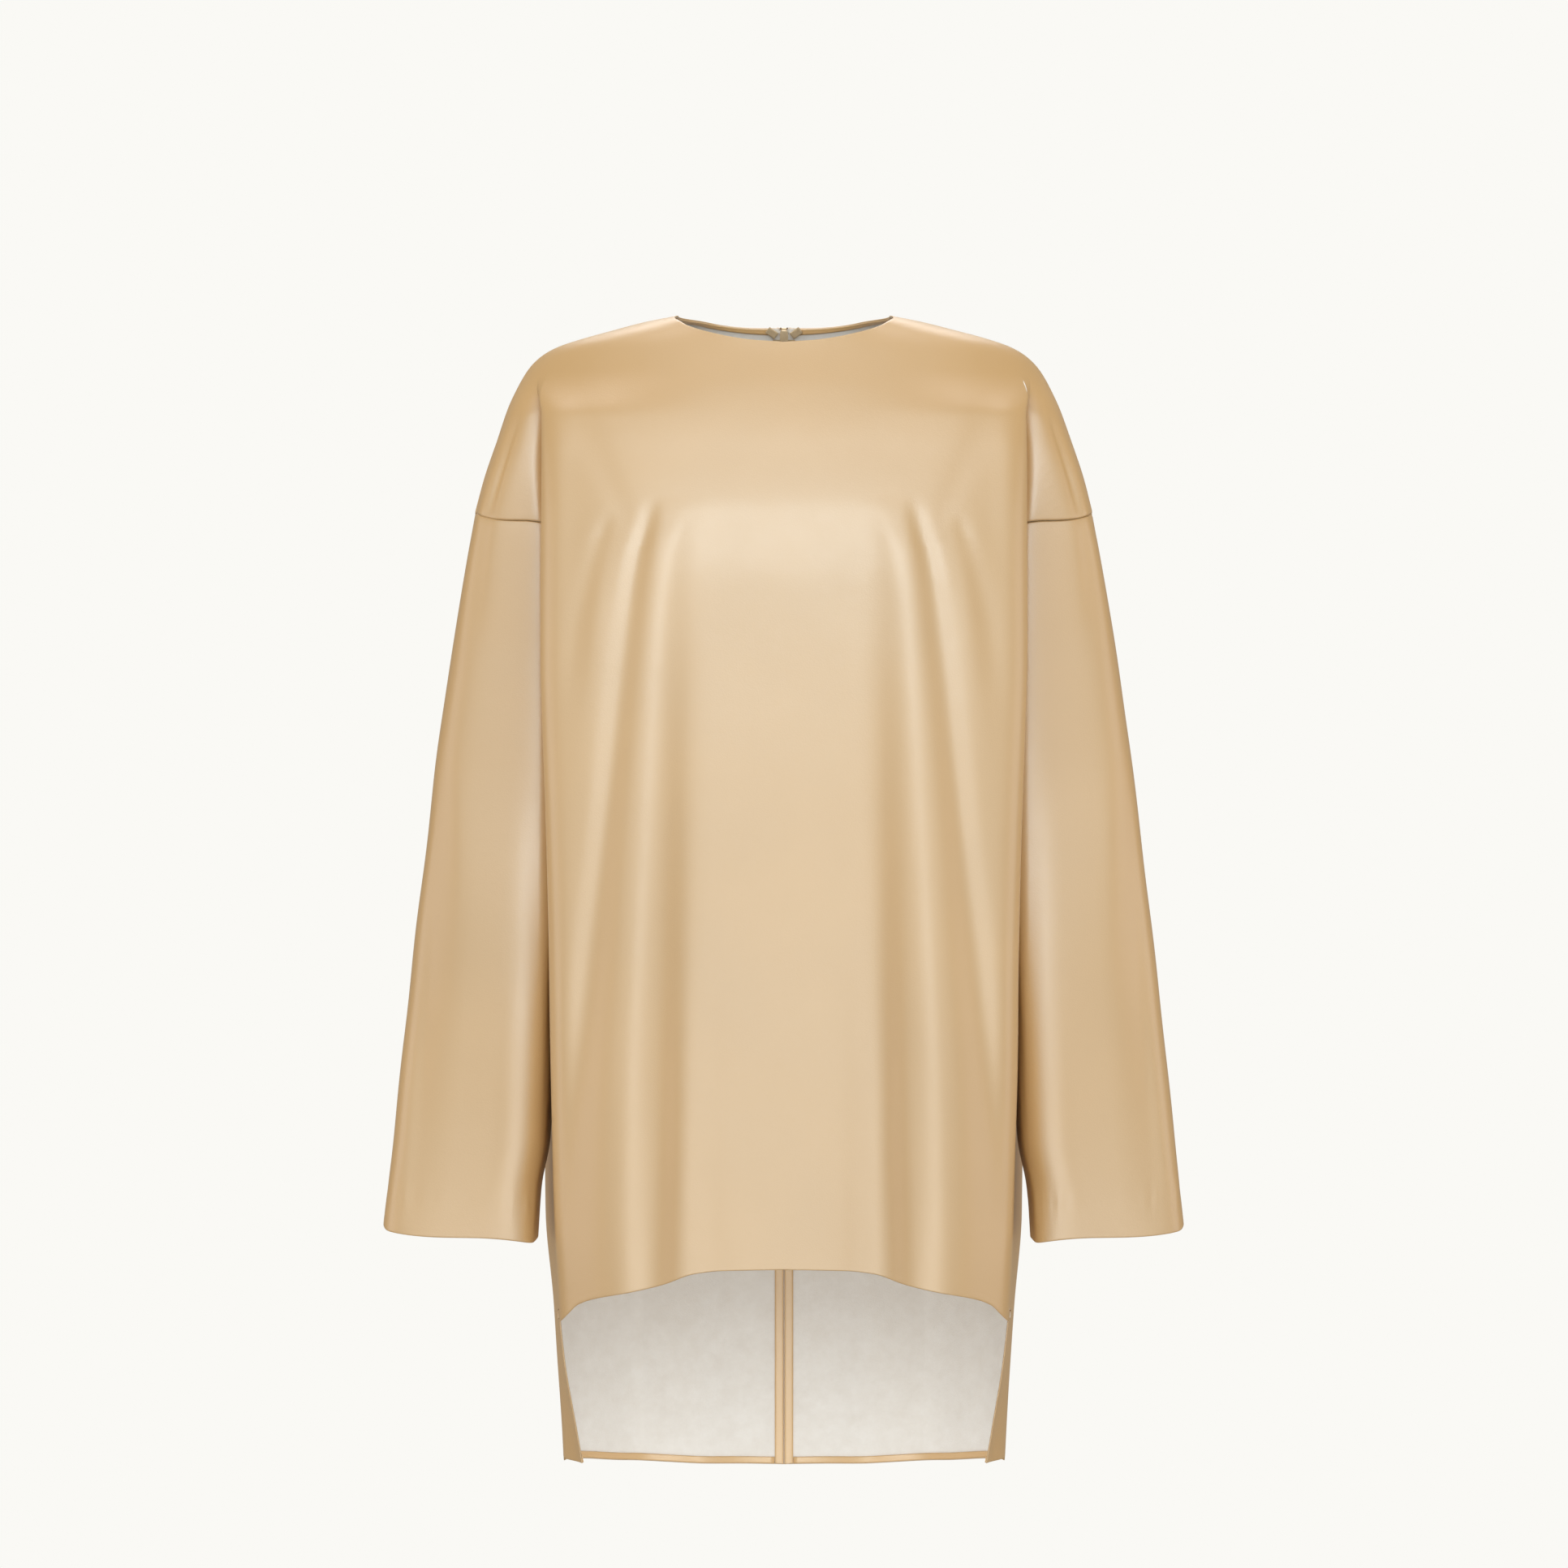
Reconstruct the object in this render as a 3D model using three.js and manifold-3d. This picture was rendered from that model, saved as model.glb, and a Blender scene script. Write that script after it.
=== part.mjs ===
// A long-sleeve top in smooth coated cloth, filled out as if worn: dropped shoulders, wide straight sleeves,
// a hem cut short at the front and long at the back, slits at the sides, and a zip down from the back neck.
// Millimetres. +Z is up, the front faces -Y, and the wearer's left is +X. The origin is the middle of the neck
// opening, level with the inner ends of the shoulder seams, where the top hangs on the wearer.
import * as THREE from "three";
import Module from "manifold-3d";

// Cloth
const WALL = 1.5; // panels
const STRIP_WALL = 0.8; // turned-in edges and zip tape
const SEAM_SHIFT = 0.2; // each panel stops this far short of a seam
const SLIT_SHIFT = 2.2; // the front's edge stops this far short of the back's along the slit
const LAYER_GAP = 0.35; // between a panel and what lies on it

// Levels
const UNDERARM_Z = -290;
const SLIT_TOP_Z = -731.6;
const ZIP_END_Z = -240;

// Widths of what is turned in or sewn inside the back
const NECK_TURN = 5.4;
const NECK_TURN_START = 0.42; // clear of the zip, as a share of the first column
const NECK_TURN_MOST = 0.92; // and within the first row, as a share of it
const HEM_TURN = 5.2;
const SEAM_ALLOWANCE = 6.7;
const ZIP_TAPE = 8;

// Depth of the body at the centre front and the centre back.
const CENTRE = [
  { z: 0, front: -57, back: 59 },
  { z: -25, front: -69, back: 71 },
  { z: -60, front: -89, back: 88 },
  { z: -100, front: -107, back: 102 },
  { z: -150, front: -122, back: 112 },
  { z: -200, front: -126, back: 116 },
  { z: -300, front: -125, back: 117 },
  { z: -450, front: -121, back: 118 },
  { z: -600, front: -119, back: 120 },
  { z: -740, front: -118, back: 123 },
  { z: -870, front: -118, back: 126 },
];

// Half widths and depths of the body where it turns at the front, at the side seam and at the back.
// Below the slit the side seam's columns are the free edge of the back.
const SIDES = [
  { z: -45, rollX: 177, rollY: -53, seamX: 162, seamY: 2, backX: 176, backY: 52 },
  { z: -75, rollX: 176.6, rollY: -70, seamX: 162, seamY: 2, backX: 175, backY: 60 },
  { z: -157, rollX: 176.5, rollY: -90, seamX: 162, seamY: 1, backX: 174, backY: 72 },
  { z: -255, rollX: 176.5, rollY: -97, seamX: 161.6, seamY: 0, backX: 173, backY: 80 },
  { z: -290, rollX: 175.6, rollY: -98, seamX: 161.4, seamY: 0, backX: 173, backY: 81 },
  { z: -340, rollX: 173.8, rollY: -97, seamX: 160.5, seamY: 0, backX: 173, backY: 80 },
  { z: -435, rollX: 171.1, rollY: -92, seamX: 161.5, seamY: -4, backX: 174, backY: 76 },
  { z: -520, rollX: 170.0, rollY: -86, seamX: 163.5, seamY: -12, backX: 176, backY: 67 },
  { z: -603, rollX: 168.7, rollY: -78, seamX: 168.2, seamY: -27, backX: 178.3, backY: 54 },
  { z: -664, rollX: 167.2, rollY: -70, seamX: 167.4, seamY: -29, backX: 177.6, backY: 46 },
  { z: -731, rollX: 164.6, rollY: -60, seamX: 165.8, seamY: -30, backX: 171.6, backY: 39 },
  { z: -769, rollX: 162, rollY: -55, seamX: 162.4, seamY: -26, backX: 169.2, backY: 37 },
  { z: -821, rollX: 155, rollY: -50, seamX: 153.9, seamY: -16, backX: 165.7, backY: 35 },
  { z: -870, rollX: 147, rollY: -45, seamX: 145.6, seamY: -8, backX: 163, backY: 33 },
];

// The shoulder line: how far out the top reaches at each level, from the neck to the start of the arm.
const SHOULDER = [
  { z: 0, x: 78 },
  { z: -5, x: 104 },
  { z: -11, x: 128 },
  { z: -17, x: 150.5 },
  { z: -23, x: 168 },
  { z: -29, x: 178.5 },
  { z: -37, x: 187 },
  { z: -47, x: 193.6 },
  { z: -65, x: 202.5 },
];
const SHOULDER_Y = 6;

// The arm and sleeve: a tube beside the body. creaseDeg is where the body's wall meets it, and ridgeDeg where
// the shoulder seam runs, as angles round the tube from its outermost line towards the front.
const ARM = [
  { z: -45, inX: 150, outX: 192.7, midY: 5, halfY: 46, creaseDeg: 88, ridgeDeg: 0 },
  { z: -65, inX: 155.5, outX: 202.5, midY: 4.5, halfY: 50, creaseDeg: 100, ridgeDeg: 0 },
  { z: -89, inX: 159.5, outX: 211, midY: 4, halfY: 54, creaseDeg: 110, ridgeDeg: 3 },
  { z: -125, inX: 162, outX: 222.3, midY: 3.5, halfY: 58, creaseDeg: 121, ridgeDeg: 14 },
  { z: -162, inX: 163, outX: 230.7, midY: 3, halfY: 61, creaseDeg: 131, ridgeDeg: 25 },
  { z: -234, inX: 162.5, outX: 242.7, midY: 1, halfY: 63, creaseDeg: 157, ridgeDeg: 25 },
  { z: -290, inX: 162.2, outX: 251, midY: 0, halfY: 63, creaseDeg: 180, ridgeDeg: 25 },
  { z: -340, inX: 163.6, outX: 258, midY: -3, halfY: 62, creaseDeg: 180, ridgeDeg: 25 },
  { z: -435, inX: 166, outX: 269, midY: -10, halfY: 58, creaseDeg: 180, ridgeDeg: 25 },
  { z: -520, inX: 168.8, outX: 278.2, midY: -16, halfY: 53, creaseDeg: 180, ridgeDeg: 25 },
  { z: -606, inX: 171.8, outX: 287.2, midY: -21, halfY: 46, creaseDeg: 180, ridgeDeg: 25 },
  { z: -643, inX: 178.3, outX: 291.4, midY: -23, halfY: 42, creaseDeg: 180, ridgeDeg: 25 },
  { z: -690, inX: 181.8, outX: 296.2, midY: -25, halfY: 38, creaseDeg: 180, ridgeDeg: 25 },
];
const ARM_BULGE = 2.35; // superellipse exponent of the tube's section
const ARM_FLATNESS = 2.6; // added to that exponent at the front, where the cloth hangs flat
const ARM_TURN = { share: 0.18, from: 178, start: -62, run: 120, easeStart: -450, easeRun: 200, eased: 0.6 };
const CUFF_Z = -677.5;
const CUFF_TILT = 5.1; // the cuff is this much higher outside and lower inside
const CUFF_CORNER = 3; // its corners round up by this much

// Rows of cloth from the neck to the armhole seam: levels at the centre, at the crease beside the arm and at
// the shoulder seam, for the front and for the back.
const FRONT_ROWS = [
  { centre: -23.5, crease: -4.2, ridge: 0 },
  { centre: -38, crease: -8, ridge: -3.2 },
  { centre: -54, crease: -13, ridge: -7.5 },
  { centre: -70, crease: -18.5, ridge: -12 },
  { centre: -86, crease: -25, ridge: -17.5 },
  { centre: -101, crease: -34, ridge: -25 },
  { centre: -115, crease: -45, ridge: -35 },
  { centre: -128, crease: -59, ridge: -48 },
  { centre: -140, crease: -75, ridge: -65 },
  { centre: -151, crease: -93, ridge: -84 },
  { centre: -161, crease: -113, ridge: -104 },
  { centre: -172, crease: -135, ridge: -125 },
  { centre: -184, crease: -157, ridge: -146.6 },
];
const BACK_ROWS = [
  { centre: -4.8, crease: -0.9, ridge: 0 },
  { centre: -13, crease: -4.6, ridge: -1.8 },
  { centre: -30, crease: -9.5, ridge: -5 },
  { centre: -50, crease: -16.5, ridge: -11 },
  { centre: -70, crease: -25, ridge: -17.5 },
  { centre: -90, crease: -35, ridge: -26 },
  { centre: -108, crease: -47, ridge: -37 },
  { centre: -124, crease: -61, ridge: -51 },
  { centre: -138, crease: -77, ridge: -67 },
  { centre: -150, crease: -95, ridge: -86 },
  { centre: -161, crease: -114, ridge: -105 },
  { centre: -172, crease: -135, ridge: -125 },
  { centre: -184, crease: -157, ridge: -146.6 },
];

// The neck edge's level, by how far each point is from the centre as a share of the shoulder line's reach.
const NECK_EDGE = [
  { share: 0, front: -23.5, back: -4.8 },
  { share: 0.144, front: -21.8, back: -4.8 },
  { share: 0.241, front: -19.6, back: -4.7 },
  { share: 0.36, front: -16.2, back: -4.1 },
  { share: 0.535, front: -11.2, back: -2.7 },
  { share: 0.69, front: -6.6, back: -1.3 },
  { share: 0.81, front: -3.9, back: -0.6 },
  { share: 0.9, front: -2, back: -0.3 },
  { share: 1, front: 0, back: 0 },
];
const NECK_EASE_ROWS = 7; // rows over which that shape gives way to an even spread

// Levels at the side of the rows below the armhole seam's front crossing, down to the hem.
const HIDDEN_ARMHOLE = [-184, -211, -238, -265, UNDERARM_Z];
const SIDE_LEVELS = [-328, -368, -410, -452, -494, -536, -576, -612, -646, -678, -706];
const BACK_HEM_SIDE = -847;
const BACK_TAIL_LEVELS = [SLIT_TOP_Z, -756, -782, -815];

// The hem, as it hangs. The front is short and dips at its folds and corners.
const FRONT_HEM = [
  { x: 0, z: -697.3 },
  { x: 45, z: -698.3 },
  { x: 65, z: -700.7 },
  { x: 84, z: -707 },
  { x: 108, z: -712.6 },
  { x: 137, z: -718.6 },
  { x: 149, z: -723.5 },
  { x: 157, z: -731 },
  { x: 165, z: -739 },
];
const BACK_HEM = [
  { x: 0, z: -861.4 },
  { x: 60, z: -860 },
  { x: 120, z: -856.5 },
  { x: 150, z: -852 },
  { x: 165, z: -849.5 },
];

// Soft folds: each follows its own line down the cloth. push is how far it stands out, or sinks in, and inner
// and outer are its widths towards the centre and towards the side.
const FRONT_FOLDS = [
  {
    name: "fold from the bust",
    line: [
      { z: -138, x: 72, push: 0, inner: 12, outer: 30 },
      { z: -160, x: 78, push: 2.2, inner: 13, outer: 34 },
      { z: -186, x: 87, push: 4, inner: 18, outer: 40 },
      { z: -246, x: 94.5, push: 6, inner: 23, outer: 46 },
      { z: -366, x: 102, push: 9, inner: 26, outer: 54 },
      { z: -486, x: 110, push: 12, inner: 29, outer: 58 },
      { z: -606, x: 117, push: 14, inner: 33, outer: 60 },
      { z: -700, x: 121, push: 15, inner: 37, outer: 60 },
    ],
  },
  {
    name: "hollow outside that fold",
    line: [
      { z: -138, x: 92, push: 0, inner: 7, outer: 8 },
      { z: -160, x: 97, push: -2, inner: 7, outer: 8 },
      { z: -186, x: 104, push: -2.9, inner: 8, outer: 9 },
      { z: -246, x: 112, push: -2.7, inner: 9, outer: 10 },
      { z: -366, x: 126.5, push: -2.5, inner: 10, outer: 10 },
      { z: -486, x: 143, push: -2.7, inner: 13, outer: 12 },
      { z: -606, x: 158, push: -2, inner: 14, outer: 12 },
      { z: -700, x: 160, push: -1, inner: 14, outer: 12 },
    ],
  },
  {
    name: "outer fold",
    line: [
      { z: -140, x: 130, push: 0, inner: 10, outer: 16 },
      { z: -180, x: 134, push: 1.2, inner: 10, outer: 18 },
      { z: -246, x: 140, push: 1.8, inner: 12, outer: 20 },
      { z: -366, x: 156, push: 2.2, inner: 18, outer: 20 },
      { z: -486, x: 164, push: 2.4, inner: 17, outer: 20 },
      { z: -606, x: 168, push: 2, inner: 14, outer: 20 },
      { z: -700, x: 168, push: 1, inner: 12, outer: 20 },
    ],
  },
  {
    name: "hollow from the shoulder",
    line: [
      { z: -36, x: 157, push: 0, inner: 12, outer: 10 },
      { z: -60, x: 152, push: -1.1, inner: 11, outer: 10 },
      { z: -90, x: 141, push: -1.8, inner: 9, outer: 10 },
      { z: -122, x: 127, push: -1.8, inner: 8, outer: 9 },
      { z: -145, x: 117, push: -1.2, inner: 7, outer: 8 },
      { z: -165, x: 108, push: 0, inner: 7, outer: 7 },
    ],
  },
];
const CENTRE_RECESS = { inner: 47, outer: 90 }; // between the two bust folds the front lies further back
const RECESS_DEPTH = [
  { z: -150, depth: 0 },
  { z: -260, depth: 1.7 },
  { z: -450, depth: 5 },
  { z: -700, depth: 8 },
];
const BACK_FOLDS = [
  {
    name: "fold from the shoulder blade",
    line: [
      { z: -170, x: 88, push: 0, inner: 18, outer: 18 },
      { z: -300, x: 96, push: 5, inner: 17, outer: 18 },
      { z: -600, x: 106, push: 8, inner: 20, outer: 20 },
      { z: -865, x: 110, push: 8, inner: 22, outer: 22 },
    ],
  },
  {
    name: "hollow inside that fold",
    line: [
      { z: -220, x: 56, push: 0, inner: 18, outer: 14 },
      { z: -400, x: 58, push: -3, inner: 19, outer: 15 },
      { z: -865, x: 60, push: -5, inner: 22, outer: 18 },
    ],
  },
];

// Section shape: the exponent that squares the body's corner, at the front and at the back.
const SQUARENESS = [
  { z: 0, front: 2.3, back: 2.3 },
  { z: -60, front: 2.6, back: 2.4 },
  { z: -160, front: 3.1, back: 2.6 },
  { z: -560, front: 3.0, back: 2.6 },
  { z: -740, front: 2.5, back: 2.5 },
  { z: -870, front: 2.5, back: 2.5 },
];
const CREASE_START = -43; // the crease beside the arm starts here and is full at CREASE_FULL
const CREASE_FULL = -78;

// Columns of cloth from the centre: over the body, round its turn into the crease, and over the arm.
const FRONT_COLUMNS = 18;
const BACK_COLUMNS = 9;
const TURN_COLUMNS = 4;
const ARM_COLUMNS = 5;
const SLEEVE_ROWS = 14;
const TUCK_START = -157; // below here the front of the armhole seam runs in under the arm
const CREASE_ROOM = 3.2; // the body's side stands this clear of the arm where they lie together

// Zip. Its parts sit on a plane that leans with the back; y is measured outward from the cloth's outer face.
const NOTCH_TOP_Z = -4.8; // the zip stops short of the neck edge, and the back parts above it
const NOTCH_FOOT_Z = -13;
const NOTCH_HALF = 4;
const ZIP_HEAD_Z = -9;
const ZIP_LEAN_DEG = 25.6;
const TAPE_END = { width: 8.2, height: 5.4, depth: 2, x: 9, y: -4, z: 2.3, tiltDeg: 38 };
const SLIDER_PLATE = { halfWidth: 3.1, shoulder: 2.2, top: 4.2, foot: -5, inner: -3.05, thickness: 1.5 };
const SLIDER_OUTER = { start: 0.4, thickness: 1.4 };
const SLIDER_NECK = { halfWidth: 0.8, top: 3, foot: 0.6 };
const BRIDGE = { halfWidth: 0.8, top: 3.1, foot: -2.4, rise: 3.2, bar: 0.9 };
const PULL = { width: 5.4, length: 24, thickness: 1.4, eyeWidth: 2.6, eyeReach: 3.8, y: 2.95, z: 0.35 };

const radians = (deg) => (deg * Math.PI) / 180;
const mix = (a, b, t) => a + (b - a) * t;
const clamp01 = (t) => Math.min(1, Math.max(0, t));
const ease = (t) => clamp01(t) ** 2 * (3 - 2 * clamp01(t));
const signedPower = (v, p) => Math.sign(v) * Math.abs(v) ** p;

// Reads a table at a level: a smooth curve through its rows that never overshoots them.
function at(table, key, value, by = "z") {
  const down = table[0][by] > table[table.length - 1][by];
  const rows = down ? [...table].reverse() : table;
  const last = rows.length - 1;
  if (value <= rows[0][by]) return rows[0][key];
  if (value >= rows[last][by]) return rows[last][key];
  const slope = (i) => (rows[i + 1][key] - rows[i][key]) / (rows[i + 1][by] - rows[i][by]);
  const tangent = (i) => {
    if (i === 0) return slope(0);
    if (i === last) return slope(last - 1);
    const before = slope(i - 1);
    const after = slope(i);
    return before * after <= 0 ? 0 : (2 * before * after) / (before + after);
  };
  let i = 0;
  while (value > rows[i + 1][by]) i++;
  const width = rows[i + 1][by] - rows[i][by];
  const t = (value - rows[i][by]) / width;
  const a = rows[i][key];
  const b = rows[i + 1][key];
  return (
    a * (1 + 2 * t) * (1 - t) ** 2 +
    tangent(i) * width * t * (1 - t) ** 2 +
    b * t * t * (3 - 2 * t) +
    tangent(i + 1) * width * t * t * (t - 1)
  );
}

// A curve between two points that leaves along one direction and arrives along another.
function bend(from, to, leave, arrive, t) {
  const reach = Math.hypot(to[0] - from[0], to[1] - from[1]);
  const a = (1 + 2 * t) * (1 - t) ** 2;
  const b = t * (1 - t) ** 2 * reach;
  const c = t * t * (3 - 2 * t);
  const d = t * t * (t - 1) * reach;
  return [0, 1].map((k) => a * from[k] + b * leave[k] + c * to[k] + d * arrive[k]);
}

const armFlatness = (z) => ease((ARM_TURN.start - z) / ARM_TURN.run);

// A point of the arm's tube at a level and an angle. Its front is flatter and faces a little outward.
function armPoint(deg, z) {
  const half = (at(ARM, "outX", z) - at(ARM, "inX", z)) / 2;
  const middle = at(ARM, "inX", z) + half;
  const ahead = ((((deg + 180) % 360) + 360) % 360) - 180;
  const flat = ease((ahead + 40) / 90) * (1 - ease((ahead - 150) / 30)) * armFlatness(z);
  const bulge = ARM_BULGE + ARM_FLATNESS * flat;
  const x = middle + half * signedPower(Math.cos(radians(deg)), 2 / bulge);
  const y = at(ARM, "midY", z) - at(ARM, "halfY", z) * signedPower(Math.sin(radians(deg)), 2 / bulge);
  const turn = ARM_TURN.share * (1 - ARM_TURN.eased * ease((ARM_TURN.easeStart - z) / ARM_TURN.easeRun));
  return [x, y + turn * flat * Math.max(x - ARM_TURN.from, 0)];
}

// How far towards the body the arm's tube reaches at a depth.
function armInside(y, z) {
  const half = (at(ARM, "outX", z) - at(ARM, "inX", z)) / 2;
  const off = Math.abs(y - at(ARM, "midY", z)) / at(ARM, "halfY", z);
  const bulge = ARM_BULGE + (y < at(ARM, "midY", z) ? ARM_FLATNESS * armFlatness(z) : 0);
  const across = off < 1 ? (1 - off ** bulge) ** (1 / bulge) : 0;
  return at(ARM, "inX", z) + half * (1 - across);
}

const outReach = (z) => (z > -65 ? at(SHOULDER, "x", z) : at(ARM, "outX", z));

function foldPush(folds, x, z) {
  let push = 0;
  for (const { line } of folds) {
    if (z > line[0].z) continue;
    const away = x - at(line, "x", z);
    const off = away / at(line, away < 0 ? "inner" : "outer", z);
    push += at(line, "push", z) * Math.exp(-off * off);
  }
  return push;
}

function frontPush(x, z) {
  const inward = 1 - ease((x - CENTRE_RECESS.inner) / (CENTRE_RECESS.outer - CENTRE_RECESS.inner));
  const recess = z > RECESS_DEPTH[0].z ? 0 : at(RECESS_DEPTH, "depth", z) * inward;
  return foldPush(FRONT_FOLDS, x, z) - recess;
}

// One side of the garment, as the two shapes that its horizontal sections blend between.
function half(isFront) {
  const side = isFront ? -1 : 1;
  const centreKey = isFront ? "front" : "back";
  const columns = (isFront ? FRONT_COLUMNS : BACK_COLUMNS) + TURN_COLUMNS;
  const turnAt = columns - TURN_COLUMNS;
  const total = columns + ARM_COLUMNS;
  const turnX = (z) => at(SIDES, isFront ? "rollX" : "backX", z);
  const turnY = (z) => at(SIDES, isFront ? "rollY" : "backY", z);
  const push = isFront ? frontPush : (x, z) => foldPush(BACK_FOLDS, x, z);

  // Each column's place across the shoulders, from 0 at the centre to 1 at the shoulder seam.
  function shareOf(column) {
    const bodyShare = 0.9;
    const creaseShare = 0.93;
    if (column <= turnAt) return bodyShare * Math.sin(((column / turnAt) * Math.PI) / 2);
    if (column <= columns) return mix(bodyShare, creaseShare, (column - turnAt) / TURN_COLUMNS);
    const t = (column - columns) / ARM_COLUMNS;
    return mix(creaseShare, 1, 1 - (1 - t) ** 2);
  }

  // Across the shoulders the cloth is one smooth arch from the centre to the shoulder seam.
  function arch(column, z) {
    const reach = outReach(z);
    const share = shareOf(column);
    const round = at(SQUARENESS, centreKey, z);
    const depth = at(CENTRE, centreKey, z) - SHOULDER_Y;
    return [reach * share, SHOULDER_Y + depth * Math.sqrt(Math.max(0, 1 - share ** round))];
  }

  // Lower down the body and the arm are two rounds that meet in a crease.
  function creased(column, z) {
    const creaseDeg = at(ARM, "creaseDeg", z) * -side;
    const corner = [turnX(z), turnY(z)];
    if (column <= turnAt) {
      const across = Math.sin(((column / turnAt) * Math.PI) / 2);
      const depth = at(CENTRE, centreKey, z) - corner[1];
      const round = at(SQUARENESS, centreKey, z);
      return [corner[0] * across, corner[1] + depth * Math.sqrt(Math.max(0, 1 - across ** round))];
    }
    if (column <= columns) {
      const seam = [at(SIDES, "seamX", z), at(SIDES, "seamY", z)];
      const foot = z > UNDERARM_Z ? armPoint(creaseDeg, z) : seam;
      const below = z > UNDERARM_Z ? [-0.35, -0.95 * side] : seamDirection(z, side);
      const t = (column - turnAt) / TURN_COLUMNS;
      const [x, y] = bend(corner, foot, [0, -side], below, t);
      const tucked = 0.45 * clamp01((TUCK_START - z) / 12) + 0.55 * clamp01((UNDERARM_Z - z) / 40);
      if (tucked === 0 && column === columns) return [x, y];
      const room = CREASE_ROOM * Math.max(1 - t, tucked);
      return [Math.min(x, armInside(y, z) - room), y];
    }
    const ridgeDeg = at(ARM, "ridgeDeg", z);
    return armPoint(mix(creaseDeg, ridgeDeg, (column - columns) / ARM_COLUMNS), z);
  }

  function point(column, z) {
    const share = ease((CREASE_START - z) / (CREASE_START - CREASE_FULL));
    const high = share < 1 ? arch(column, z) : [0, 0];
    const low = share > 0 ? creased(column, z) : [0, 0];
    const x = mix(high[0], low[0], share);
    const onBody = column < turnAt ? 1 - (column / turnAt) ** 12 : 0;
    const y = mix(high[1], low[1], share) + side * push(x, z) * onBody;
    return [x, y];
  }
  return { side, columns, total, turnAt, shareOf, centreKey, point };
}

// At the side seam the front runs on into the back, so both take the line between their two turns.
function seamDirection(z, side) {
  const dx = at(SIDES, "backX", z) - at(SIDES, "rollX", z);
  const dy = at(SIDES, "backY", z) - at(SIDES, "rollY", z);
  const length = Math.hypot(dx, dy);
  return [(-side * dx) / length, (-side * dy) / length];
}

const FRONT = half(true);
const BACK = half(false);

// The level of a row at a column: rows above the armhole run up to the shoulder seam, those below run level
// and take on the hem's curve as they near it.
function yokeLevel(shape, row, column, neckShare) {
  const across = column <= shape.turnAt ? Math.sin(((column / shape.turnAt) * Math.PI) / 2) : 1;
  let even = mix(row.centre, row.crease, across ** 2);
  if (column > shape.columns) {
    even = mix(row.crease, row.ridge, (column - shape.columns) / (shape.total - shape.columns));
  }
  const edge = at(NECK_EDGE, shape.centreKey, shape.shareOf(column), "share");
  const rise = 1 - edge / NECK_EDGE[0][shape.centreKey];
  return mix(even, mix(row.centre, row.ridge, rise), neckShare);
}

// A grid of named rows and columns over one half of a panel. Cells are null where there is no cloth.
function panelGrid(shape, rows, hem, levels, hemSide) {
  const grid = rows.map((row, i) =>
    Array.from({ length: shape.total + 1 }, (_, column) => {
      const z = yokeLevel(shape, row, column, 1 - ease(i / NECK_EASE_ROWS));
      return [...shape.point(column, z), z];
    }),
  );
  const start = rows[rows.length - 1];
  for (const level of levels) {
    const share = (level - start.crease) / (hemSide - start.crease);
    const cells = [];
    for (let column = 0; column <= shape.total; column++) {
      if (column > shape.columns) {
        cells.push(null);
        continue;
      }
      const top = yokeLevel(shape, start, column, 0);
      const x = shape.point(column, mix(top, hemSide, share))[0];
      const z = mix(top, at(hem, "z", x, "x"), share);
      const side = column >= shape.turnAt ? level : z;
      const toSide = clamp01((column - shape.turnAt + TURN_COLUMNS) / TURN_COLUMNS);
      const levelled = mix(z, side, ease(toSide));
      cells.push([...shape.point(column, levelled), levelled]);
    }
    grid.push(cells);
  }
  return grid;
}

const sub = (a, b) => a.map((v, k) => v - b[k]);
const plus = (a, b, share = 1) => a.map((v, k) => v + b[k] * share);
const cross = (a, b) => [a[1] * b[2] - a[2] * b[1], a[2] * b[0] - a[0] * b[2], a[0] * b[1] - a[1] * b[0]];
const length = (a) => Math.hypot(...a);
const unit = (a) => a.map((v) => v / (length(a) || 1));
const between = (a, b, t) => a.map((v, k) => mix(v, b[k], t));

// Moves a point of cloth back from its seam, along the cloth.
const shyOf = (edge, inner, by = SEAM_SHIFT) => plus(edge, unit(sub(inner, edge)), by);

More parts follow.
